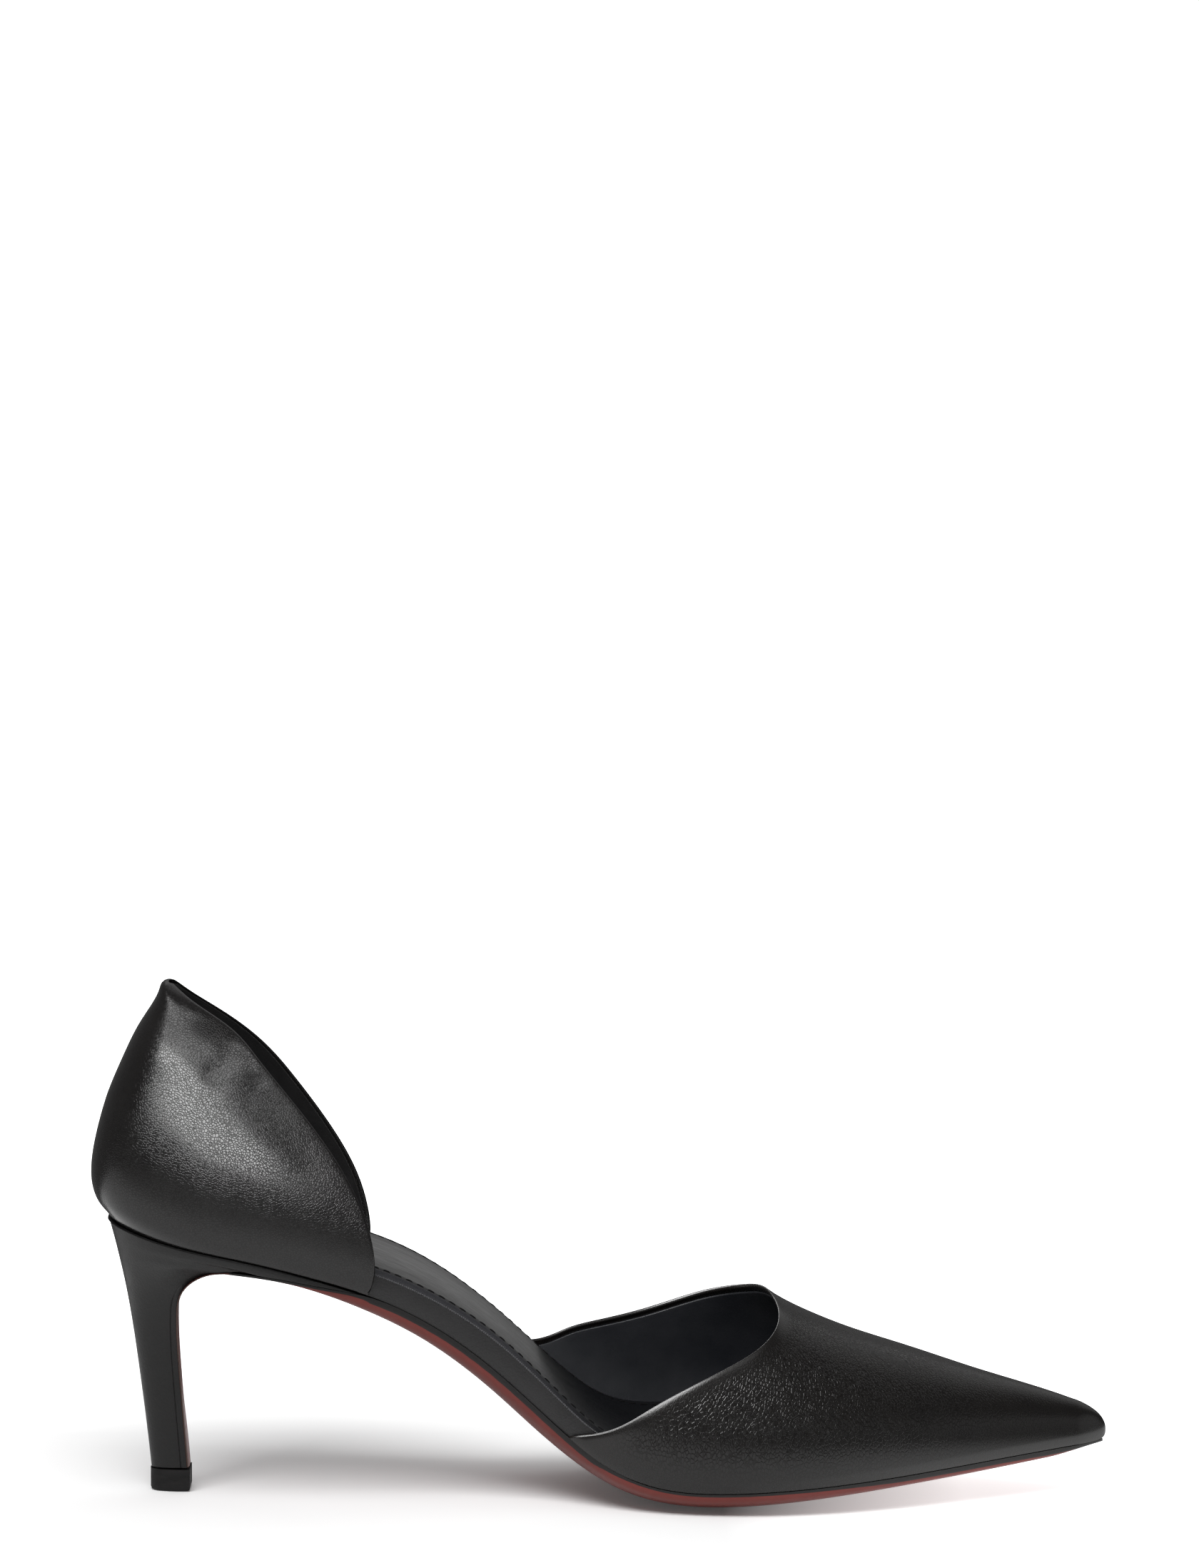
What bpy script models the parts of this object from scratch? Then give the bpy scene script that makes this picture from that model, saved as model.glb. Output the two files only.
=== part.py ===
# Two-piece pump, a left shoe: pointed toe, open waist on both sides, slim covered heel.
# Sizes are in millimetres. x runs from the back of the heel (0) to the toe point (LENGTH),
# y runs from the inner side (minus) to the outer side (plus), z is the height above the floor.

import math

import bmesh
import bpy
import numpy as np

# Driving sizes

MM = 0.001
LENGTH = 250.0
BALL_WIDTH = 75.0
HEEL_HEIGHT = 68.2
INSTEP = 49.0
BACK_HEIGHT = 61.8

WALL = 1.6
GAP = 0.3
SLANT = 1.08
TIP_STRETCH = 2.4

SEAT_BACK = 3.9
SEAT_FRONT = 68.5
HEEL_RADIUS = 30.0
HEEL_FULLNESS = 2.4

NOSE_LENGTH = 7.5
NOSE_HEIGHT = 14.9
NOSE_BLUNTNESS = 10.0

VAMP_BULGE = 1.3
BULGE_REACH = 18.0
BULGE_FULL_HEIGHT = 30.0
THROAT_LIFT = 1.8
THROAT_LIFT_REACH = 4.5

SOLE_OVERHANG = 0.5
VAMP_SOLE_START = 112.0
VAMP_SOLE_END = 136.0
LIP_INSET = 1.2
BREAST_THICKNESS = 0.8
BREAST_EDGE = 0.3
SOLE_START = 0.144
SOLE_TIP_SETBACK = 0.7

INSOLE_THICKNESS = 6.4
INSOLE_TOE_THICKNESS = 3.0
INSOLE_EDGE_ROUND = 0.7
INSOLE_SETBACK = 0.3
INSOLE_TIP_SETBACK = 5.0
DISH_RISE = 3.5

HEEL_INSET = 0.8
SEAT_SAG = 1.0
LIFT_HEIGHT = 5.4
LIFT_PROUD = 0.2
LIFT_CHAMFER = 0.7

# Last bottom: place along the length, height of the inner seat edge as a share of the heel height,
# lift of the outer edge over the inner one as the same share, and half widths as shares of the
# ball width.

SEAT_COLUMNS = ("along", "rise", "twist", "inner", "outer")
SEAT = (
    (0.016, 1.004, 0.000, 0.315, 0.315),
    (0.080, 0.938, 0.006, 0.315, 0.315),
    (0.160, 0.876, 0.012, 0.320, 0.323),
    (0.224, 0.815, 0.021, 0.309, 0.317),
    (0.280, 0.746, 0.026, 0.288, 0.309),
    (0.336, 0.642, 0.018, 0.267, 0.310),
    (0.392, 0.496, -0.003, 0.263, 0.322),
    (0.448, 0.317, -0.017, 0.296, 0.353),
    (0.504, 0.163, -0.010, 0.378, 0.403),
    (0.560, 0.092, -0.003, 0.455, 0.455),
    (0.616, 0.081, 0.000, 0.493, 0.488),
    (0.700, 0.095, 0.000, 0.480, 0.455),
    (0.800, 0.122, 0.000, 0.371, 0.330),
    (0.900, 0.153, 0.000, 0.208, 0.170),
    (1.000, 0.184, 0.000, 0.050, 0.030),
)

# Vamp: height of the ridge as a share of the instep height, and fullness of the section.

RIDGE_COLUMNS = ("along", "ridge", "fullness")
RIDGE = (
    (0.380, 1.760, 2.40),
    (0.480, 1.440, 2.40),
    (0.560, 1.215, 2.40),
    (0.620, 1.070, 2.40),
    (0.674, 0.957, 2.40),
    (0.744, 0.817, 2.35),
    (0.800, 0.730, 2.25),
    (0.872, 0.613, 2.15),
    (0.958, 0.477, 2.05),
    (0.983, 0.437, 2.02),
    (1.000, 0.426, 2.00),
)

# Vamp top edge: turn runs across the section from the inner seat edge (0) to the outer one (1),
# along is where the wall begins there.

TOPLINE_COLUMNS = ("turn", "along")
TOPLINE = (
    (0.000, 0.470),
    (0.030, 0.503),
    (0.090, 0.550),
    (0.167, 0.606),
    (0.250, 0.652),
    (0.300, 0.667),
    (0.360, 0.6735),
    (0.460, 0.675),
    (0.560, 0.671),
    (0.640, 0.650),
    (0.730, 0.606),
    (0.825, 0.542),
    (0.910, 0.4715),
    (0.967, 0.4315),
    (1.000, 0.396),
)

# Heel quarter: level above the seat edge as a share of the back height, back end and the two front
# ends of the level as shares of the length, and its spread against the seat outline.

QUARTER_COLUMNS = ("level", "back", "inner_front", "outer_front", "spread")
QUARTER = (
    (0.000, 0.0156, 0.2744, 0.2665, 1.000),
    (0.080, 0.0042, 0.2804, 0.2710, 1.050),
    (0.195, 0.0000, 0.2800, 0.2690, 1.075),
    (0.325, 0.0050, 0.2704, 0.2585, 1.060),
    (0.490, 0.0166, 0.2448, 0.2330, 0.980),
    (0.660, 0.0326, 0.2048, 0.1980, 0.850),
    (0.805, 0.0486, 0.1664, 0.1610, 0.690),
    (0.905, 0.0622, 0.1332, 0.1215, 0.480),
    (0.975, 0.0740, 0.0930, 0.0870, 0.260),
    (0.992, 0.0770, 0.0830, 0.0830, 0.140),
)

# Outsole: depth of its keel below the seat edge, height of the upright edge, flatness of the
# underside, and depth of the heel lip that lies between seat and sole.

SOLE_COLUMNS = ("along", "depth", "edge", "flatness", "lip")
SOLE = (
    (0.144, 4.30, 0.30, 4.0, 3.45),
    (0.168, 3.85, 0.30, 3.6, 2.90),
    (0.200, 3.70, 0.35, 3.0, 2.20),
    (0.240, 4.70, 0.70, 2.8, 1.30),
    (0.268, 5.70, 1.00, 2.8, 0.40),
    (0.324, 6.50, 1.10, 3.0, 0.00),
    (0.360, 7.00, 1.10, 3.0, 0.00),
    (0.400, 7.40, 1.10, 3.0, 0.00),
    (0.440, 7.50, 1.10, 2.9, 0.00),
    (0.472, 7.00, 1.10, 2.8, 0.00),
    (0.504, 6.40, 1.10, 2.6, 0.00),
    (0.560, 6.00, 1.00, 2.4, 0.00),
    (0.616, 6.10, 0.90, 2.4, 0.00),
    (0.660, 5.70, 0.90, 2.5, 0.00),
    (0.748, 4.30, 0.90, 2.8, 0.00),
    (0.800, 3.60, 0.90, 3.0, 0.00),
    (0.900, 2.80, 0.90, 3.2, 0.00),
    (1.000, 1.40, 0.70, 3.2, 0.00),
)

# Sole flap down the heel breast: its outer face in side view and its half width.

BREAST_COLUMNS = ("x", "z", "half")
BREAST = (
    (33.5, 56.6, 20.4),
    (30.2, 56.1, 18.8),
    (26.9, 54.6, 16.4),
    (24.1, 52.2, 13.6),
    (22.3, 49.1, 11.0),
    (21.7, 45.2, 9.2),
    (21.6, 40.0, 7.6),
    (22.1, 29.0, 5.8),
    (23.0, 16.5, 4.9),
    (23.8, 6.0, 4.5),
)

# Heel: back end of each section in side view, place of its front end on the line that runs up the
# breast and forward under the seat, its half width, and how far it already follows the seat outline.

HEEL_COLUMNS = ("step", "back_x", "back_z", "front", "half", "seat_share")
HEEL = (
    (0.0, 14.3, 5.8, 0.000, 4.8, 0.00),
    (1.0, 13.2, 16.0, 0.117, 5.2, 0.00),
    (2.0, 11.8, 27.5, 0.255, 6.0, 0.00),
    (3.0, 10.2, 39.5, 0.390, 7.6, 0.00),
    (4.0, 8.7, 48.8, 0.500, 10.4, 0.08),
    (5.0, 7.3, 55.6, 0.580, 14.2, 0.28),
    (6.0, 5.9, 61.4, 0.680, 18.6, 0.60),
    (7.0, 4.7, 65.8, 0.840, 22.0, 0.88),
    (8.0, 4.0, 68.2, 1.000, 23.2, 1.00),
)
LIP_END = 66.0
LIP_POINTS = 5
HEEL_SECTION_FULLNESS = 2.5

# Numbers of points

VAMP_ROWS = 28
VAMP_TURNS = 30
QUARTER_LEVELS = 16
QUARTER_TURNS = 36
SOLE_STATIONS = 44
BREAST_STATIONS = 16
SOLE_ACROSS = 8
INSOLE_STATIONS = 40
HEEL_LEVELS = 32
HEEL_POINTS = 14

# Smooth curves through table columns


def spline(knots, values):
    x = np.array(knots, dtype=float)
    y = np.array(values, dtype=float)
    count = len(x)
    step = np.diff(x)
    matrix = np.eye(count)
    right = np.zeros(count)
    for i in range(1, count - 1):
        matrix[i, i - 1] = step[i - 1]
        matrix[i, i] = 2.0 * (step[i - 1] + step[i])
        matrix[i, i + 1] = step[i]
        right[i] = 3.0 * ((y[i + 1] - y[i]) / step[i] - (y[i] - y[i - 1]) / step[i - 1])
    second = np.linalg.solve(matrix, right)
    first = np.diff(y) / step - step * (2.0 * second[:-1] + second[1:]) / 3.0
    third = np.diff(second) / (3.0 * step)

    def value(at):
        inside = min(max(at, x[0]), x[-1])
        i = min(max(int(np.searchsorted(x, inside)) - 1, 0), count - 2)
        t = inside - x[i]
        return float(y[i] + t * (first[i] + t * (second[i] + t * third[i])))

    return value


def column(table, columns, name):
    rows = np.array(table)
    return spline(rows[:, 0], rows[:, columns.index(name)])


seat_rise = column(SEAT, SEAT_COLUMNS, "rise")
seat_twist = column(SEAT, SEAT_COLUMNS, "twist")
seat_inner = column(SEAT, SEAT_COLUMNS, "inner")
seat_outer = column(SEAT, SEAT_COLUMNS, "outer")
ridge_share = column(RIDGE, RIDGE_COLUMNS, "ridge")
ridge_fullness = column(RIDGE, RIDGE_COLUMNS, "fullness")
topline_along = column(TOPLINE, TOPLINE_COLUMNS, "along")
quarter_back = column(QUARTER, QUARTER_COLUMNS, "back")
quarter_inner_front = column(QUARTER, QUARTER_COLUMNS, "inner_front")
quarter_outer_front = column(QUARTER, QUARTER_COLUMNS, "outer_front")
quarter_spread = column(QUARTER, QUARTER_COLUMNS, "spread")
sole_depth = column(SOLE, SOLE_COLUMNS, "depth")
sole_edge = column(SOLE, SOLE_COLUMNS, "edge")
sole_flatness = column(SOLE, SOLE_COLUMNS, "flatness")
sole_lip = column(SOLE, SOLE_COLUMNS, "lip")
heel_columns = {name: column(HEEL, HEEL_COLUMNS, name) for name in HEEL_COLUMNS[1:]}


def clamp(value, low=0.0, high=1.0):
    return min(max(value, low), high)


def blend(start, end, share):
    return start + (end - start) * share


def ease(value, start, end):
    share = clamp((value - start) / (end - start))
    return share * share * (3.0 - 2.0 * share)


# Shape of the last


def seat_z(x, share):
    # share runs from the inner edge (-1) to the outer edge (1)
    along = x / LENGTH
    return HEEL_HEIGHT * (seat_rise(along) + seat_twist(along) * 0.5 * (1.0 + share))


def seat_slope(x):
    return (seat_z(x + 1.0, 0.0) - seat_z(x - 1.0, 0.0)) / 2.0


def heel_round(x, back):
    reach = clamp((x - back) / HEEL_RADIUS)
    return (1.0 - (1.0 - reach) ** HEEL_FULLNESS) ** (1.0 / HEEL_FULLNESS)


def nose_reach(x, tip):
    return clamp((x - tip + NOSE_LENGTH) / NOSE_LENGTH)


def nose_round(x, tip):
    return math.sqrt(1.0 - nose_reach(x, tip) ** 2)


def tip_of(inset):
    return LENGTH - inset * TIP_STRETCH


def outline(x, share, inset=0.0, back=None, tip=None):
    # y of the last bottom at x, inset all round, from inner edge (-1) to outer edge (1)
    along = x / LENGTH
    inner = BALL_WIDTH * seat_inner(along)
    outer = BALL_WIDTH * seat_outer(along)
    back = SEAT_BACK + inset if back is None else back
    tip = tip_of(inset) if tip is None else tip
    half = max(0.5 * (inner + outer) - inset * SLANT, 0.3)
    return 0.5 * (outer - inner) + share * half * heel_round(x, back) * nose_round(x, tip)


# Meshes


def place(point):
    x, y, z = point
    return ((x - 0.5 * LENGTH) * MM, y * MM, z * MM)


def finish(name, mesh, colour, roughness, sharp_degrees):
    bmesh.ops.remove_doubles(mesh, verts=mesh.verts, dist=1e-7)
    bmesh.ops.triangulate(mesh, faces=mesh.faces)
    bmesh.ops.recalc_face_normals(mesh, faces=mesh.faces)
    data = bpy.data.meshes.new(name)
    mesh.to_mesh(data)
    mesh.free()
    material = bpy.data.materials.new(name)
    material.use_nodes = True
    shader = material.node_tree.nodes["Principled BSDF"]
    shader.inputs["Base Color"].default_value = (*colour, 1.0)
    shader.inputs["Roughness"].default_value = roughness
    shader.inputs["Metallic"].default_value = 0.0
    data.materials.append(material)
    data.shade_smooth()
    data.set_sharp_from_angle(angle=math.radians(sharp_degrees))
    piece = bpy.data.objects.new(name, data)
    bpy.context.collection.objects.link(piece)
    return piece


def add_strip(mesh, first, second, closed):
    count = len(first)
    last = count if closed else count - 1
    for i in range(last):
        j = (i + 1) % count
        mesh.faces.new((first[i], first[j], second[j], second[i]))


def add_folded_cap(mesh, ring):
    # A ring runs out along one side and back along the other, so opposite points pair up
    half = len(ring) // 2
    for i in range(half - 1):
        mesh.faces.new((ring[i], ring[i + 1], ring[-2 - i], ring[-1 - i]))


def loft(rings):
    mesh = bmesh.new()
    made = [[mesh.verts.new(place(p)) for p in ring] for ring in rings]
    for first, second in zip(made, made[1:]):
        add_strip(mesh, first, second, closed=True)
    add_folded_cap(mesh, made[0])
    add_folded_cap(mesh, made[-1])
    return mesh


def shell(outer_grid, inner_grid):
    mesh = bmesh.new()
    outside = [[mesh.verts.new(place(p)) for p in row] for row in outer_grid]
    inside = [[mesh.verts.new(place(p)) for p in row] for row in inner_grid]
    for rows in (outside, inside):
        for first, second in zip(rows, rows[1:]):
            add_strip(mesh, first, second, closed=False)
    add_strip(mesh, outside[0], inside[0], closed=False)
    add_strip(mesh, outside[-1], inside[-1], closed=False)
    for end in (0, -1):
        add_strip(mesh, [row[end] for row in outside], [row[end] for row in inside], closed=False)
    return mesh


# Vamp


def vamp_point(x, turn, start, inset):
    angle = math.pi * turn
    fullness = 2.0 / ridge_fullness(x / LENGTH)
    across = -math.copysign(abs(math.cos(angle)) ** fullness, math.cos(angle))
    lift = math.sin(angle) ** fullness
    tip = tip_of(inset)
    round_share = nose_round(x, tip)
    blunt_share = math.sqrt(1.0 - nose_reach(x, tip) ** NOSE_BLUNTNESS)
    base = blend(NOSE_HEIGHT, seat_z(x, across) + GAP, blunt_share)
    flare = THROAT_LIFT * math.exp(-(x - start) / THROAT_LIFT_REACH)
    ridge = INSTEP * ridge_share(x / LENGTH) + flare - inset * SLANT
    top = blend(NOSE_HEIGHT, ridge, round_share)
    height = (top - base) * lift
    left = outline(x, -1.0, inset)
    right = outline(x, 1.0, inset)
    swell = math.sin(math.pi * clamp(height / BULGE_REACH)) * clamp((top - base) / BULGE_FULL_HEIGHT)
    half = 0.5 * (right - left) + VAMP_BULGE * swell * round_share
    return (x, 0.5 * (left + right) + half * across, base + height)


def vamp_grid(inset):
    tip = tip_of(inset)
    rows = []
    for i in range(VAMP_ROWS + 1):
        run = 1.0 - (1.0 - i / VAMP_ROWS) ** 1.7
        row = []
        for j in range(VAMP_TURNS + 1):
            turn = j / VAMP_TURNS
            start = LENGTH * topline_along(turn)
            x = blend(start, tip, run)
            if i == VAMP_ROWS:
                turn = 0.5
            row.append(vamp_point(x, turn, start, inset))
        rows.append(row)
    return rows


def make_vamp():
    mesh = shell(vamp_grid(0.0), vamp_grid(WALL))
    return finish("vamp", mesh, (0.018, 0.017, 0.017), 0.45, 50.0)


# Heel quarter


def quarter_point(level, turn, inset):
    # turn runs from the inner front end (-1) round the back (0) to the outer front end (1)
    side = -1.0 if turn < 0.0 else 1.0
    run = abs(turn) ** 2.1
    back = LENGTH * quarter_back(level) + inset
    front_share = quarter_inner_front(level) if side < 0.0 else quarter_outer_front(level)
    front = LENGTH * front_share
    x = blend(back, front, run)
    seat_x = blend(SEAT_BACK, SEAT_FRONT, run)
    spread = quarter_spread(level) - inset / (0.32 * BALL_WIDTH)
    y = outline(seat_x, side) * spread
    z = seat_z(max(x, SEAT_BACK), side * heel_round(seat_x, SEAT_BACK)) + GAP + level * BACK_HEIGHT
    return (x, y, z)


def quarter_grid(inset):
    rows = []
    for i in range(QUARTER_LEVELS + 1):
        level = i / QUARTER_LEVELS
        level = blend(level, 1.0 - (1.0 - level) ** 1.5, 0.5)
        turns = [2.0 * j / QUARTER_TURNS - 1.0 for j in range(QUARTER_TURNS + 1)]
        rows.append([quarter_point(level, turn, inset) for turn in turns])
    return rows


def make_quarter():
    mesh = shell(quarter_grid(0.0), quarter_grid(WALL))
    return finish("heel_quarter", mesh, (0.018, 0.017, 0.017), 0.45, 50.0)


# Outsole


def sole_inset(x):
    under_vamp = ease(x, VAMP_SOLE_START, VAMP_SOLE_END)
    under_lip = 1.0 - ease(x, SOLE_START * LENGTH, SEAT_FRONT)
    return blend(WALL, SOLE_OVERHANG, under_vamp) + LIP_INSET * under_lip


def sole_ring(x):
    along = x / LENGTH
    inset = sole_inset(x)
    tip = LENGTH - SOLE_TIP_SETBACK
    depth = sole_depth(along)
    edge = sole_edge(along)
    flatness = sole_flatness(along)
    lip = max(sole_lip(along), 0.0)
    top = []
    bottom = []
    for k in range(SOLE_ACROSS + 1):
        share = -math.cos(math.pi * k / SOLE_ACROSS)
        y = outline(x, share, inset, tip=tip)
        seat = seat_z(x, share)
        belly = (1.0 - abs(share) ** flatness) ** (1.0 / flatness)
        top.append((x, y, seat - lip))
        bottom.append((x, y, max(seat - lip - edge - (depth - lip - edge) * belly, 0.0)))
    return top + bottom[::-1]


def chord_shares(points):
    steps = np.linalg.norm(np.diff(np.array(points), axis=0), axis=1)
    total = np.concatenate(([0.0], np.cumsum(steps)))
    return total / total[-1]


def breast_line():
    # Points of the flap from its upper end to its foot: place, half width, normal into the heel
    rows = np.array(BREAST)
    shares = chord_shares(rows[:, :2])
    line_x = spline(shares, rows[:, 0])
    line_z = spline(shares, rows[:, 1])
    half = spline(shares, rows[:, 2])
    points = []
    for i in range(BREAST_STATIONS + 1):
        share = i / BREAST_STATIONS
        ahead = clamp(share + 0.004)
        behind = clamp(share - 0.004)
        along_x = line_x(ahead) - line_x(behind)
        along_z = line_z(ahead) - line_z(behind)
        length = math.hypot(along_x, along_z)
        points.append((line_x(share), line_z(share), half(share), along_z / length, -along_x / length))
    return points


def breast_rings():
    rings = []
    for x, z, half, normal_x, normal_z in breast_line():
        top = []
        bottom = []
        for k in range(SOLE_ACROSS + 1):
            across = -math.cos(math.pi * k / SOLE_ACROSS)
            y = across * half
            inward = (BREAST_THICKNESS - BREAST_EDGE) * abs(across) ** 6
            top.append((x + normal_x * BREAST_THICKNESS, y, z + normal_z * BREAST_THICKNESS))
            bottom.append((x + normal_x * inward, y, z + normal_z * inward))
        rings.append(top + bottom[::-1])
    return rings


def make_outsole():
    start = SOLE_START * LENGTH
    end = LENGTH - SOLE_TIP_SETBACK - 0.02
    rings = []
    for i in range(SOLE_STATIONS + 1):
        run = i / SOLE_STATIONS
        run = blend(run, 1.0 - (1.0 - run) ** 1.8, 0.6)
        rings.append(sole_ring(blend(end, start, 1.0 - run)))
    rings = breast_rings()[::-1] + rings
    return finish("outsole", loft(rings), (0.16, 0.035, 0.03), 0.4, 50.0)


# Insole


def insole_top(x, share):
    along = x / LENGTH
    forward = ease(along, 0.56, 0.95)
    thickness = blend(INSOLE_THICKNESS, INSOLE_TOE_THICKNESS, forward)
    upright = thickness * math.sqrt(1.0 + seat_slope(x) ** 2)
    dish = ease(along, 0.48, 0.58) * (1.0 - ease(along, 0.66, 0.82))
    rise = DISH_RISE * dish * abs(share) ** 4
    rounded = INSOLE_EDGE_ROUND * (1.0 - dish) * clamp((abs(share) - 0.9) / 0.1) ** 2
    return seat_z(x, share) + GAP + upright + rise - rounded


def insole_ring(x):
    inset = WALL + INSOLE_SETBACK
    tip = tip_of(inset) - INSOLE_TIP_SETBACK
    top = []
    bottom = []
    for k in range(SOLE_ACROSS + 1):
        share = -math.cos(math.pi * k / SOLE_ACROSS)
        y = outline(x, share, inset, tip=tip)
        top.append((x, y, insole_top(x, share)))
        bottom.append((x, y, seat_z(x, share) + GAP))
    return top + bottom[::-1]


def make_insole():
    inset = WALL + INSOLE_SETBACK
    start = SEAT_BACK + inset + 0.25
    end = tip_of(inset) - INSOLE_TIP_SETBACK - 0.1
    rings = []
    for i in range(INSOLE_STATIONS + 1):
        run = i / INSOLE_STATIONS
        run = 0.5 - 0.5 * math.cos(math.pi * run)
        rings.append(insole_ring(blend(start, end, run)))
    return finish("insole", loft(rings), (0.03, 0.03, 0.032), 0.5, 50.0)


# Heel


def heel_front_curves():
    # Line on the heel that faces the flap and then the sole under the seat, from foot to lip end
    away = BREAST_THICKNESS + GAP
    points = [(x + nx * away, z + nz * away) for x, z, _, nx, nz in breast_line()[::-1]]
    start = SOLE_START * LENGTH
    for i in range(LIP_POINTS + 1):
        x = blend(start, LIP_END, i / LIP_POINTS)
        points.append((x, seat_z(x, 0.0) - sole_lip(x / LENGTH) + GAP))
    shares = chord_shares(points)
    return spline(shares, [p[0] for p in points]), spline(shares, [p[1] for p in points])


heel_front_x, heel_front_z = heel_front_curves()


def heel_ring(step):
    at = {name: curve(step) for name, curve in heel_columns.items()}
    front_x = heel_front_x(at["front"])
    front_z = heel_front_z(at["front"])
    seat_share = clamp(at["seat_share"])
    sides = {-1.0: [], 1.0: []}
    for side in sides:
        for k in range(HEEL_POINTS + 1):
            run = (0.02 + 0.98 * k / HEEL_POINTS) ** 1.9
            x = blend(at["back_x"], front_x, run)
            round_share = (1.0 - (1.0 - run) ** HEEL_SECTION_FULLNESS) ** (1.0 / HEEL_SECTION_FULLNESS)
            stem = side * at["half"] * round_share
            seat = outline(x, side, HEEL_INSET, back=at["back_x"])
            straight = blend(at["back_z"], front_z, run)
            middle = seat_z(x, 0.0)
            tilt = seat_z(x, side * heel_round(x, at["back_x"])) - middle
            sag = min(middle - straight, SEAT_SAG) * (1.0 - run ** 8)
            z = straight + seat_share * (sag + tilt)
            sides[side].append((x, blend(stem, seat, seat_share), z))
    return sides[-1.0] + sides[1.0][::-1]


def make_heel():
    last = HEEL[-1][0]
    rings = [heel_ring(last * i / HEEL_LEVELS) for i in range(HEEL_LEVELS + 1)]
    return finish("heel", loft(rings), (0.02, 0.019, 0.019), 0.5, 40.0)


# Top lift


def lift_ring(z, proud):
    ring = []
    bottom = heel_ring(0.0)
    centre = sum(point[0] for point in bottom) / len(bottom)
    front = heel_front_x(0.0)
    half = heel_columns["half"](0.0)
    for x, y, _ in bottom:
        front_share = 1.0 if x > front - 0.01 else 0.0
        away = proud + front_share * (BREAST_THICKNESS + GAP)
        direction = 1.0 if x > centre else -1.0
        lengthways = abs(x - centre) / (front - centre)
        ring.append((x + direction * away * lengthways, y * (1.0 + proud / half), z))
    return ring


def make_top_lift():
    rings = [
        lift_ring(0.0, LIFT_PROUD - LIFT_CHAMFER),
        lift_ring(LIFT_CHAMFER, LIFT_PROUD),
        lift_ring(LIFT_HEIGHT, LIFT_PROUD),
    ]
    return finish("top_lift", loft(rings), (0.012, 0.012, 0.012), 0.7, 30.0)


def build():
    for old in list(bpy.data.objects):
        bpy.data.objects.remove(old, do_unlink=True)
    make_outsole()
    make_insole()
    make_vamp()
    make_quarter()
    make_heel()
    make_top_lift()


build()
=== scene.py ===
# Looks of a two-piece pump, a left shoe with a pointed toe, an open waist and a slim covered heel.
# Shapes are worked out in millimetres: x runs from the back of the heel (0) to the toe point (LENGTH),
# y from the inner side (minus) to the outer side (plus), z up from the floor.

import math

import bmesh
import bpy
import numpy as np
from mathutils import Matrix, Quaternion, Vector


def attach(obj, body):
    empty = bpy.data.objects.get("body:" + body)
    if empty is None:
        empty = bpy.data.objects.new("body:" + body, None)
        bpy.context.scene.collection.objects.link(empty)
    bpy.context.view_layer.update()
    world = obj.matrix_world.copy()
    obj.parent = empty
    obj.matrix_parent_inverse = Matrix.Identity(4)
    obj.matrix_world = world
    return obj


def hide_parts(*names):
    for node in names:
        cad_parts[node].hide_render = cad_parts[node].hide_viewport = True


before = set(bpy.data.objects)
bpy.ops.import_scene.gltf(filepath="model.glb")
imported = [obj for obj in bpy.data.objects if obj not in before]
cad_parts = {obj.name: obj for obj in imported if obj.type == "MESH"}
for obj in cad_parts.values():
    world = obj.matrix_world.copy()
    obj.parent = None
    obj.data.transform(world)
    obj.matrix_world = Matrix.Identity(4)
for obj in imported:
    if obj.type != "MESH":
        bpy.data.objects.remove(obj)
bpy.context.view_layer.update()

# Sizes of the last and of the main pieces, as in the solids

MM = 0.001
LENGTH = 250.0
BALL_WIDTH = 75.0
HEEL_HEIGHT = 68.2
INSTEP = 49.0
BACK_HEIGHT = 61.8

WALL = 1.6
GAP = 0.3
SLANT = 1.08
TIP_STRETCH = 2.4

SEAT_BACK = 3.9
SEAT_FRONT = 68.5
HEEL_RADIUS = 30.0
HEEL_FULLNESS = 2.4

NOSE_LENGTH = 7.5
NOSE_HEIGHT = 14.9
NOSE_BLUNTNESS = 10.0

VAMP_BULGE = 1.3
BULGE_REACH = 18.0
BULGE_FULL_HEIGHT = 30.0
THROAT_LIFT = 1.8
THROAT_LIFT_REACH = 4.5

SOLE_OVERHANG = 0.5
VAMP_SOLE_START = 112.0
VAMP_SOLE_END = 136.0
LIP_INSET = 1.2
BREAST_THICKNESS = 0.5
BREAST_EDGE = 0.25
SOLE_START = 0.144
SOLE_TIP_SETBACK = 0.7

INSOLE_THICKNESS = 6.4
INSOLE_TOE_THICKNESS = 3.0
INSOLE_THINNING = (0.56, 0.95)
INSOLE_SETBACK = 0.3
INSOLE_TIP_SETBACK = 5.0
DISH_RISE = 3.5
DISH_START = (0.48, 0.58)
DISH_END = (0.66, 0.82)

HEEL_INSET = 0.8
SEAT_SAG = 1.0
LIFT_HEIGHT = 5.4
LIFT_PROUD = 0.2
LIFT_CHAMFER = 0.7

# Last bottom: height of the inner seat edge and lift of the outer edge over it as shares of the heel
# height, half widths as shares of the ball width

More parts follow.
